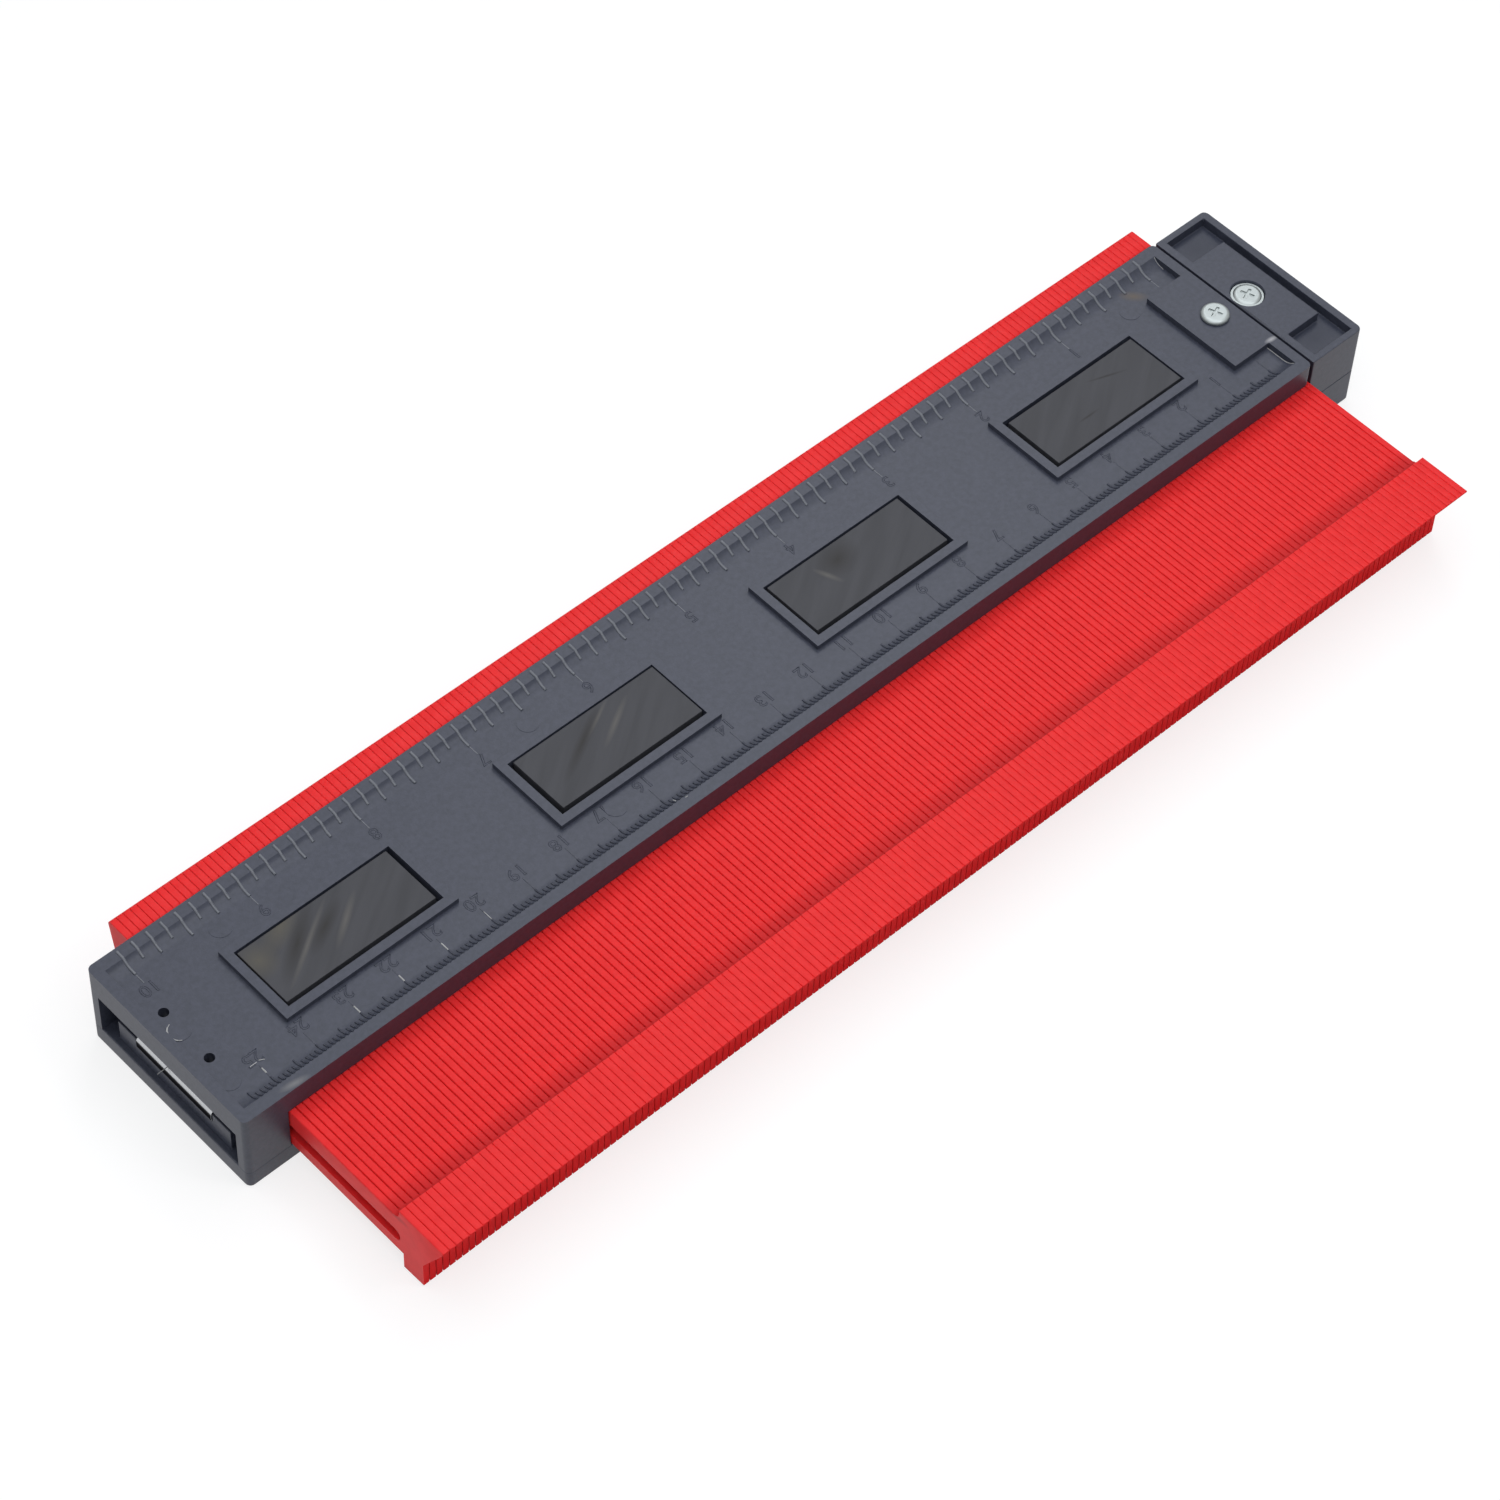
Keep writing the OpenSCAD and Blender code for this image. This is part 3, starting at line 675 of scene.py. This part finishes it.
def weld(piece):
    """Merges points that coincide, and drops edges and faces without size."""
    pick_all(piece)
    bpy.ops.mesh.remove_doubles(threshold=WELD * MM)
    bpy.ops.mesh.dissolve_degenerate(threshold=WELD * MM)
    done()


def flatten(piece, angle):
    """Welds a piece and joins its faces that lie in one plane."""
    weld(piece)
    pick_all(piece)
    bpy.ops.mesh.dissolve_limited(angle_limit=angle)
    done()


def soften(piece, width, steps=2):
    """Rounds every sharp edge a little, so that it catches the light, and shades the rest smooth."""
    flatten(piece, FLAT_ANGLE)
    step = piece.modifiers.new("soften", "BEVEL")
    step.width = width * MM
    step.segments = steps
    step.limit_method = "ANGLE"
    step.angle_limit = SHARP_ANGLE
    bpy.ops.object.modifier_apply(modifier=step.name)
    weld(piece)
    bpy.ops.object.shade_smooth_by_angle(angle=SMOOTH_ANGLE)
    flat = piece.modifiers.new("keep flat faces flat", "WEIGHTED_NORMAL")
    flat.keep_sharp = True
    bpy.ops.object.modifier_apply(modifier=flat.name)


def finish(piece, skin, body, slot, *nodes):
    """Gives a piece its material, hangs it on its body, and hides the nodes it stands for; slot is not used.
    """
    piece.data.materials.clear()
    piece.data.materials.append(skin)
    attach(piece, body)
    if nodes:
        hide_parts(*nodes)
    print(piece.name, len(piece.data.polygons), "faces")


print("soften and finish ready")

# %% Upper shell: soft edges
MOULDED_EDGE = 0.25
soften(shell, MOULDED_EDGE)
finish(shell, moulding, "gauge_body", "body_plastic", "upper_shell")

# %% [markdown]
# The two scales.
# Centimetres run along the near edge and inches along the far edge, both counted from the cap's end. A mark
# is a low bar that follows the top: its end face is extruded from station to station along the hollow edge,
# and its shoulders are rounded so that they glint. One centimetre and one inch are made by hand, and an Array
# repeats them along the row.

# %% Scales: one mark
ZERO_X = 126.8
COVE_END, MARK_ROOT, MARK_TIP = 19.1, 0.3, 0.05
SHOULDER_DEEP, SHOULDER_OF_WIDTH, SHOULDER_OF_HEIGHT = 0.1, 0.4, 0.9
MARK_SMOOTH = math.radians(60)


def top_height(y):
    """Height of the body's top at a distance y from its middle line."""
    side = abs(y)
    if side <= PANEL_Y:
        return panel_z
    if side >= COVE_END:
        return shell_high.z
    return panel_z + COVE_RADIUS - math.sqrt(COVE_RADIUS ** 2 - (side - PANEL_Y) ** 2)


def mark(x, wide, proud, stations):
    """A raised bar that crosses the scale and follows the top through its stations in y."""
    here = stations[0]
    tip = here + math.copysign(MARK_TIP, stations[1] - here)
    z = top_height(here)
    bar = block("mark", (x - wide / 2, min(here, tip), z - MARK_ROOT),
                (x + wide / 2, max(here, tip), z + proud))
    for ahead in stations[1:]:
        pick(bar, "FACE", lambda c: all(abs(v.y - tip) < TINY for v in c))
        pull(y=ahead - tip, z=top_height(ahead) - top_height(here))
        here = tip = ahead
    done()

    def shoulder(c):
        level = abs(c[0].x - c[1].x) < TINY
        return level and all(v.z > top_height(v.y) + proud - SHOULDER_DEEP for v in c)

    round_edges(bar, shoulder, min(SHOULDER_OF_WIDTH * wide, SHOULDER_OF_HEIGHT * proud), steps=2)
    bpy.ops.object.shade_smooth_by_angle(angle=MARK_SMOOTH)
    return bar


def join(name, pieces):
    """Makes one object of several."""
    start_clean()
    for piece in pieces:
        piece.select_set(True)
    bpy.context.view_layer.objects.active = pieces[0]
    bpy.ops.object.join()
    pieces[0].name = name
    return pieces[0]


def repeat(piece, count, step_x):
    """Repeats a piece along the row."""
    row = piece.modifiers.new("row", "ARRAY")
    row.count = count
    row.use_relative_offset = False
    row.use_constant_offset = True
    row.constant_offset_displace = (step_x * MM, 0, 0)
    activate(piece)
    bpy.ops.object.modifier_apply(modifier=row.name)


print("scales start at", ZERO_X, "mm")

# %% Scales: centimetres
CM_WIDE, CM_PROUD = 0.4, 0.22
CM_SHORT = (-19.1, -18.6, -18.0, -17.2)
CM_LONG = CM_SHORT + (-16.2,)
LINE_WIDE, LINE_PROUD = 0.22, 0.07
CM_LINE = (-16.2, -12.9)
CM, CENTIMETRES, LAST_MARKS = 10, 25, 6


def centimetre(name, start, marks):
    """The first marks of one centimetre, with a thin line beside the first."""
    pieces = [mark(start - i, CM_WIDE, CM_PROUD, CM_SHORT if i % 5 else CM_LONG) for i in range(marks)]
    return join(name, pieces + [mark(start, LINE_WIDE, LINE_PROUD, CM_LINE)])


scale_cm = centimetre("scale_cm", ZERO_X, CM)
repeat(scale_cm, CENTIMETRES, -CM)
scale_cm = join("scale_cm", [scale_cm, centimetre("last_cm", ZERO_X - CM * CENTIMETRES, LAST_MARKS)])
finish(scale_cm, polished, "gauge_body", "body_plastic")

# %% Scales: inches
INCH, INCHES = 25.4, 10
INCH_WIDE, INCH_PROUD = 0.6, 0.26
INCH_EIGHTH = (20.9, 19.2, 18.6, 18.0, 17.5)
INCH_QUARTER = INCH_EIGHTH + (16.5,)
INCH_LONG = INCH_QUARTER + (15.8,)
INCH_LINE = (15.8, 13.4)
eighths = [INCH_LONG, INCH_EIGHTH, INCH_QUARTER, INCH_EIGHTH] * 2
pieces = [mark(ZERO_X - i * INCH / 8, INCH_WIDE, INCH_PROUD, run) for i, run in enumerate(eighths)]
scale_inch = join("scale_inch", pieces + [mark(ZERO_X, LINE_WIDE, LINE_PROUD, INCH_LINE)])
repeat(scale_inch, INCHES, -INCH)
end_x = ZERO_X - INCH * INCHES
scale_inch = join("scale_inch", [scale_inch, mark(end_x, INCH_WIDE, INCH_PROUD, INCH_LONG),
                                 mark(end_x, LINE_WIDE, LINE_PROUD, INCH_LINE)])
# the inch marks are finished with the painted glint
finish(scale_inch, glint_painted_skin, "gauge_body", "body_plastic")

# %% [markdown]
# The numerals.
# They are moulded as fine raised outlines. A text object without fill and with a thin round bevel is exactly
# such an outline. It is made a mesh and then put in place, half sunk in the panel, to be read from the far
# side.

# %% Numerals
NUMERAL_HIGH, LINE_RADIUS = 2.8, 0.09
LETTER_SHARE = 0.73
CM_NUMERAL_Y, INCH_NUMERAL_Y = -11.2, 12.0


def numeral(text, x, y):
    """One number as a raised outline on the panel."""
    start_clean()
    bpy.ops.object.text_add()
    word = bpy.context.object
    word.data.body = text
    word.data.size = NUMERAL_HIGH / LETTER_SHARE * MM
    word.data.align_x, word.data.align_y = "CENTER", "CENTER"
    word.data.fill_mode = "NONE"
    word.data.resolution_u = 3
    word.data.bevel_depth = LINE_RADIUS * MM
    word.data.bevel_resolution = 0
    bpy.ops.object.convert(target="MESH")
    word = bpy.context.object
    word.location = Vector((x, y, panel_z)) * MM
    word.rotation_euler.z = math.pi
    return settle(word)


numbers = [numeral(str(i), ZERO_X - CM * i, CM_NUMERAL_Y) for i in range(1, CENTIMETRES + 1)]
finish(join("numerals_cm", numbers), moulding, "gauge_body", "body_plastic")
numbers = [numeral(str(i), ZERO_X - INCH * i, INCH_NUMERAL_Y) for i in range(1, INCHES + 1)]
finish(join("numerals_inch", numbers), moulding, "gauge_body", "body_plastic")

# %% [markdown]
# Ejector marks.
# Round marks are left where pins pushed the moulding out of its mould. They could be drawn in the material,
# but their rims catch the light, so each is a low cylinder that is sunk in the panel.

# %% Ejector marks
EJECTORS = ((-128.9, 1.5), (-128.95, -12.2), (-110.0, 13.9), (-39.5, 12.9), (-40.3, -12.0), (117.6, 12.5))
EJECTOR_WIDE, EJECTOR_PROUD = 4.3, 0.06
discs = []
for x, y in EJECTORS:
    place = (x, y, panel_z - MARK_ROOT)
    discs.append(rod("disc", place, EJECTOR_WIDE, MARK_ROOT + EJECTOR_PROUD, sides=40))
finish(join("ejector_marks", discs), moulding, "gauge_body", "body_plastic")

# %% [markdown]
# Flash and burrs.
# Thin flash shows along the ends of the hollow edges, as small burrs beside a few marks, as loose threads,
# and as a pale lip on one side of the first ejector mark. What follows the top is made like a mark of the
# scales, and a thread is a thin block turned along its run.

# %% Flash and burrs
COVE_STATIONS = (PANEL_Y, 17.2, 18.0, 18.6, 19.0)
FLASH_IN, NEAR_FLASH, FAR_FLASH = 0.2, (0.18, 0.12), (0.12, 0.06)
# number of the centimetre, width, first and last y
BURRS = ((20, 0.16, -14.0, -16.2), (21, 0.28, -14.2, -16.1), (22, 0.3, -14.6, -16.3),
         (23, 0.3, -14.4, -16.2), (25, 0.3, -13.9, -15.2))
BURR_PROUD, THREAD_WIDE = 0.14, 0.13
THREADS = (((-31.9, -18.0, 19.1), (-31.6, -19.2, 19.4)), ((-31.6, -19.2, 19.4), (-29.7, -19.5, 19.85)),
           ((-124.6, -12.4, 18.42), (-123.1, -12.4, 18.42)), ((-122.6, -12.3, 18.42), (-121.7, -12.8, 18.42)),
           ((-131.9, 1.9, 9.85), (-134.1, 1.9, 9.7)))
# degrees round the first ejector mark, width
LIP = ((115, 0.12), (135, 0.24), (155, 0.34), (175, 0.36), (195, 0.3), (215, 0.18), (235, 0.12))
LIP_HALF_TURN, LIP_UP = 11, 0.1


def thread(start, end, wide=THREAD_WIDE):
    """A thin thread of plastic from one point to another."""
    run = Vector(end) - Vector(start)
    half = wide / 2
    piece = block("thread", (0, -half, -half), (run.length, half, half))
    piece.rotation_euler = run.to_track_quat("X", "Z").to_euler()
    piece.location = Vector(start) * MM
    return settle(piece)


def on_disc(degrees):
    """A point on the rim of the first ejector mark."""
    turn = math.radians(degrees)
    x, y = EJECTORS[0]
    radius = EJECTOR_WIDE / 2
    return Vector((x + radius * math.cos(turn), y + radius * math.sin(turn), panel_z + LIP_UP))


flash_x = panel_x1 - FLASH_IN
flash = [mark(flash_x, *NEAR_FLASH, (-PAD_WIDE / 2,) + tuple(-y for y in COVE_STATIONS)),
         mark(flash_x, *FAR_FLASH, COVE_STATIONS[::-1])]
flash += [mark(ZERO_X - CM * number, wide, BURR_PROUD, (y0, y1)) for number, wide, y0, y1 in BURRS]
flash += [thread(start, end) for start, end in THREADS]
for degrees, wide in LIP:
    flash.append(thread(on_disc(degrees - LIP_HALF_TURN), on_disc(degrees + LIP_HALF_TURN), wide))
finish(join("flash", flash), rubbed, "gauge_body", "body_plastic")

# %% [markdown]
# The lower cover.
# A flat plate closes the body from below. In the end socket it carries a block with a groove, the cradle in
# which the guide bar lies. Plate and block are joined, then cut for the bar, the cap's lower tongue and the
# screw's sunk seat.

# %% Lower cover
cover_low, cover_high = node_box("lower_cover")
COVER_THICK, CRADLE_WIDE, LOWER_TONGUE_Z = 4.1, 31.2, 2.2
UNDER_SEAT_WIDE, UNDER_SEAT_SINK = 6.8, 1.2
cover = block("body_lower", cover_low, (cover_high.x, cover_high.y, COVER_THICK))
round_edges(cover, at_corner(cover_low, cover_high), CORNER, CORNER_STEPS)
fuse(cover, block("cradle", (bar_low.x + FIT, -CRADLE_WIDE / 2, COVER_THICK - PAST),
                  (socket_x - FIT, CRADLE_WIDE / 2, cover_high.z)))
cut(cover, block("groove", (bar_low.x - PAST, bar_low.y - FIT, bar_low.z),
                 (socket_x + PAST, bar_high.y + FIT, cover_high.z + PAST)))
cut(cover, block("tongue_pocket", (tongue_x - 2 * FIT, -TONGUE_WIDE / 2 - FIT, LOWER_TONGUE_Z - FIT),
                 (cover_high.x + PAST, TONGUE_WIDE / 2 + FIT, COVER_THICK + PAST)))
seat_place = (node_middle("bottom_screw").x, 0, -PAST)
cut(cover, rod("screw_seat", seat_place, UNDER_SEAT_WIDE, PAST + UNDER_SEAT_SINK))
soften(cover, MOULDED_EDGE)
finish(cover, moulding, "gauge_body", "body_plastic", "lower_cover")

# %% [markdown]
# The end cap.
# The cap is two halves screwed together. Each starts as a block whose two far corners are rounded, and grows
# a tongue towards the body. The upper half is hollowed into a tray, and a block stands in the middle of it,
# with a sunk seat for the screw. The block is taken out of the tray's cutter before the cutter is used.

# %% End cap, upper half
cap_low, cap_high = node_box("cap_lower")
TONGUE_LONG, CAP_SPLIT = 11.5, 8.1
TRAY_END, TRAY_SIDE = 1.8, 1.5
BLOCK_WIDE, CHANNEL = 25.9, 1.7
SEAT_WIDE, SEAT_SINK = 7.0, 1.2
cap_x0 = cap_low.x + TONGUE_LONG
seat_x = node_middle("cap_screw").x


def at_far_end(c):
    """True for the two upright edges at the far end of the cap."""
    return along(2, c) and c[0].x > cap_high.x - TINY


upper = block("cap_top", (cap_x0, cap_low.y, CAP_SPLIT), cap_top)
round_edges(upper, at_far_end, CORNER, CORNER_STEPS)
fuse(upper, block("tongue", (cap_low.x, -TONGUE_WIDE / 2, roof_under + TONGUE_UP),
                  (cap_x0 + PAST, TONGUE_WIDE / 2, roof_under + TONGUE_UP + TONGUE_THICK)))
tray_x0, tray_x1 = cap_x0 + TRAY_END, cap_high.x - TRAY_END
tray_y = cap_high.y - TRAY_SIDE
tray = block("tray", (tray_x0, -tray_y, tray_z), (tray_x1, tray_y, cap_top.z + PAST))
cut(tray, block("tray_block", (tray_x0 - PAST, -BLOCK_WIDE / 2, tray_z - PAST),
                (tray_x1 - CHANNEL, BLOCK_WIDE / 2, cap_top.z + 2 * PAST)))
cut(upper, tray)
seat = rod("seat", (seat_x, 0, cap_top.z - SEAT_SINK), SEAT_WIDE, SEAT_SINK + PAST, sides=48)
cut(upper, seat)
soften(upper, MOULDED_EDGE)
finish(upper, moulding, "end_cap", "body_plastic", "cap_upper")

# %% End cap, lower half
LOWER_EDGE = 0.2
lower = block("cap_bottom", (cap_x0, cap_low.y, cap_low.z), (cap_high.x, cap_high.y, CAP_SPLIT))
round_edges(lower, at_far_end, CORNER, CORNER_STEPS)
fuse(lower, block("tongue", (cap_low.x, -TONGUE_WIDE / 2, LOWER_TONGUE_Z),
                  (cap_x0 + PAST, TONGUE_WIDE / 2, LOWER_TONGUE_Z + TONGUE_THICK)))
soften(lower, LOWER_EDGE)
finish(lower, moulding, "end_cap", "body_plastic", "cap_lower")

# %% [markdown]
# One leaf.
# A leaf is a thin slotted bar with a thicker head and tail. It is repeated many times, so it has to stay
# light: few steps in each round, and soft edges only along its top. The bar is a block, and the slot is cut
# by a block whose ends are rounded.

# %% Leaf: bar and slot
HEAD_THICK, BAR_THICK = 1.40, 1.30
LEAVES_IN_BANK = 5
pitch = (row_high.x - row_low.x - HEAD_THICK) / (LEAVES_IN_BANK - 1)
leaf_x = row_low.x + HEAD_THICK / 2
BAR_LOW, BAR_HIGH, BAR_IN_HEAD = 4.3, 14.3, 1.5
SLOT_LOW, SLOT_HIGH, SLOT_END, SLOT_ROUND = 6.9, 9.9, 17.9, 1.48
PAD_REAR, TAIL_FRONT = -50.8, 22.0
leaf = block("leaf", (leaf_x - BAR_THICK / 2, PAD_REAR - BAR_IN_HEAD, BAR_LOW),
             (leaf_x + BAR_THICK / 2, TAIL_FRONT + PAST, BAR_HIGH))
slot = block("slot", (leaf_x - PAST, PAD_REAR, SLOT_LOW), (leaf_x + PAST, SLOT_END, SLOT_HIGH))
round_edges(slot, lambda c: along(0, c), SLOT_ROUND, steps=3)
cut(leaf, slot)
print("leaf pitch", round(pitch, 3), "mm")

# %% [markdown]
# The leaf's head.
# The head starts as its foot and is extruded up. Its top front edge is then pulled forward, so that the front
# above the foot slopes out to the lip. A block with one edge bevelled to a hollow profile is the ramp.

# %% Leaf: head and ramp
FOOT_FRONT, FOOT_REAR, FOOT_TOP = -56.6, -51.5, 6.6
PAD_TOP, LIP_THICK = 17.0, 0.4
RAMP, RAMP_ROOT, HOLLOW = 1.8, 0.3, 0.086
x0, x1 = leaf_x - HEAD_THICK / 2, leaf_x + HEAD_THICK / 2
lip_z = PAD_TOP - LIP_THICK


def push(x=0, y=0, z=0):
    """Moves what is selected."""
    bpy.ops.transform.translate(value=(x * MM, y * MM, z * MM))


head = block("head", (x0, FOOT_FRONT, row_low.z), (x1, FOOT_REAR, FOOT_TOP))
pick(head, "FACE", lambda c: all(v.z > FOOT_TOP - TINY for v in c))
pull(z=lip_z - FOOT_TOP)
pick(head, "EDGE", lambda c: along(0, c) and c[0].z > lip_z - TINY and c[0].y < FOOT_FRONT + TINY)
push(y=row_low.y - FOOT_FRONT)
pick(head, "EDGE", lambda c: along(0, c) and c[0].z > lip_z - TINY and c[0].y > FOOT_REAR - TINY)
push(y=PAD_REAR - FOOT_REAR)
pick(head, "FACE", lambda c: all(v.z > lip_z - TINY for v in c))
pull(z=LIP_THICK)
done()
ramp = block("ramp", (x0, PAD_REAR - RAMP_ROOT, BAR_HIGH - PAST), (x1, PAD_REAR + RAMP, BAR_HIGH + RAMP))
round_edges(ramp, lambda c: along(0, c) and c[0].z > BAR_HIGH and c[0].y > PAD_REAR, RAMP, 4, HOLLOW)
fuse(head, ramp)
fuse(leaf, head)
print("leaf with head has", len(leaf.data.polygons), "faces")

# %% [markdown]
# The leaf's tail and edges.
# The tail leans forward at its foot, which is one edge moved. The foot of the head narrows to its front,
# which opens the dark lines between the feet: its front face is resized about its own middle. Last, the long
# edges along the top are rounded.

# %% Leaf: tail, foot and top edges
TAIL_LEAN, TAIL_ROUND = 2.2, 0.8
FOOT_TAPER = 0.88
BAR_EDGE, PAD_EDGE, LONG_EDGE = 0.18, 0.15, 3
ONE_PLANE, LEAF_SMOOTH = math.radians(1), math.radians(50)


def on_bar(c):
    """True for the long edges along the bar's top."""
    return along(1, c) and abs(c[0].z - BAR_HIGH) < TINY and (c[0] - c[1]).length > LONG_EDGE


def on_ends(c):
    """True for the long edges along the tops of pad and tail."""
    return along(1, c) and c[0].z > PAD_TOP - TINY and (c[0] - c[1]).length > LONG_EDGE


tail = block("tail", (x0, TAIL_FRONT, BAR_LOW), (x1, row_high.y, row_high.z))
round_edges(tail, lambda c: along(0, c) and c[0].z > row_high.z - TINY, TAIL_ROUND, steps=2)
pick(tail, "EDGE", lambda c: along(0, c) and c[0].z < BAR_LOW + TINY and c[0].y > row_high.y - TINY)
push(y=-TAIL_LEAN)
done()
fuse(leaf, tail)
flatten(leaf, ONE_PLANE)
pick(leaf, "FACE", lambda c: all(v.y < FOOT_FRONT + TINY and v.z < FOOT_TOP + TINY for v in c))
foot_middle = Vector((leaf_x, FOOT_FRONT, BAR_LOW)) * MM
bpy.ops.transform.resize(value=(FOOT_TAPER, 1, 1), center_override=foot_middle)
done()
round_edges(leaf, on_bar, BAR_EDGE, steps=2)
round_edges(leaf, on_ends, PAD_EDGE, steps=2)
weld(leaf)
bpy.ops.object.shade_smooth_by_angle(angle=LEAF_SMOOTH)
print("leaf has", len(leaf.data.polygons), "faces")

# %% [markdown]
# The row of leaves.
# An Array modifier makes one bank of five leaves. The bank is then duplicated along the row, each copy with
# its own mesh, because every bank rides on its own sliding body.

# %% Banks of leaves
BANKS = 35
repeat(leaf, LEAVES_IN_BANK, pitch)
for number in range(1, BANKS + 1):
    activate(leaf)
    bpy.ops.object.duplicate()
    bank = bpy.context.object
    bank.name = f"leaves_{number:02d}"
    push(x=(number - 1) * LEAVES_IN_BANK * pitch)
    settle(bank)
    finish(bank, red, f"bank_{number:02d}", "leaf_plastic", f"leaf_bank_{number:02d}")
bpy.data.objects.remove(leaf)

# %% [markdown]
# Magnets and guide bar.
# A ferrite magnet is pressed and ground, so it is a plain block with small worn edges. The guide bar is a
# flat drawn strip. Only its end shows in the socket: shears cropped it, which rolled its top edge over.

# %% Magnets and guide bar
MAGNET_EDGE, STRIP_EDGE, ROLLED_EDGE = 0.2, 0.1, 0.9
for number, (low, high) in enumerate(magnet_boxes, 1):
    magnet = block(f"ferrite_{number}", low, high)
    soften(magnet, MAGNET_EDGE)
    finish(magnet, ferrite, "gauge_body", "ferrite", f"magnet_{number}")


def at_cropped_end(c):
    """True for the top edge at the end of the guide bar that shows."""
    return along(1, c) and c[0].x < bar_low.x + TINY and c[0].z > bar_high.z - TINY


bar = block("guide_strip", bar_low, bar_high)
round_edges(bar, at_cropped_end, ROLLED_EDGE)
soften(bar, STRIP_EDGE)
finish(bar, aluminium, "gauge_body", "bar_metal", "guide_bar")

# %% [markdown]
# Screws.
# Pan-head screws with a cross recess. The head is a cylinder whose rim is rounded into a low dome. Its flat
# face is inset and extruded as the shank, and the cross is cut by two thin blocks. The cap's screw has a
# flange, and the hidden one under the body stays plain.

# %% Screws: head, shank and cross
HEAD_HIGH, HEAD_DOME, HEAD_SIDES, SHANK = 1.0, 0.8, 48, 2.9
CROSS_LONG, CROSS_WIDE, CROSS_DEEP = 2.9, 0.6, 0.3
CROSS_TURN = math.radians(20)


def draw_shank(screw, head_wide, face_z, tip_z):
    """Insets the flat face of a screw's head and extrudes it to tip_z."""
    pick(screw, "FACE", lambda c: all(abs(v.z - face_z) < TINY for v in c))
    bpy.ops.mesh.inset(thickness=(head_wide - SHANK) / 2 * MM)
    pull(z=tip_z - face_z)
    done()


def pan_screw(name, node):
    """A screw that fills the box of its CAD node, head up."""
    low, high = node_box(node)
    middle = (low + high) / 2
    width = high.x - low.x
    base = high.z - HEAD_HIGH
    screw = rod(name, (middle.x, middle.y, base), width, HEAD_HIGH, HEAD_SIDES)
    draw_shank(screw, width, base, low.z)
    round_edges(screw, lambda c: all(v.z > high.z - TINY for v in c), HEAD_DOME, steps=5)
    for quarter in (0, 1):
        arm = block("arm", (-CROSS_LONG / 2, -CROSS_WIDE / 2, high.z - CROSS_DEEP),
                    (CROSS_LONG / 2, CROSS_WIDE / 2, high.z + PAST))
        arm.rotation_euler.z = CROSS_TURN + quarter * math.pi / 2
        arm.location = (middle.x * MM, middle.y * MM, 0)
        cut(screw, settle(arm))
    return screw


print("screw heads are", HEAD_HIGH, "mm high")

# %% Screws: the two that show
FLANGE_WIDE, FLANGE_THICK, SCREW_EDGE = 6.7, 0.6, 0.08
for name, node in (("screw_body", "body_screw"), ("screw_cap", "cap_screw")):
    screw = pan_screw(name, node)
    if node == "cap_screw":
        flange_place = (seat_x, 0, cap_top.z - SEAT_SINK)
        fuse(screw, rod("flange", flange_place, FLANGE_WIDE, FLANGE_THICK, HEAD_SIDES))
    soften(screw, SCREW_EDGE)
    finish(screw, steel, "end_cap", "screw_steel", node)

# %% Screws: the one under the body
UNDER_EDGE = 0.1
low, high = node_box("bottom_screw")
width = high.x - low.x
screw = rod("screw_bottom", (node_middle("bottom_screw").x, 0, low.z), width, HEAD_HIGH, HEAD_SIDES)
draw_shank(screw, width, low.z + HEAD_HIGH, high.z)
soften(screw, UNDER_EDGE)
finish(screw, steel, "end_cap", "screw_steel", "bottom_screw")

# %% Sizes, and the end
low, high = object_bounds()
print("visual box in mm:", [round(v / MM, 1) for v in high - low])
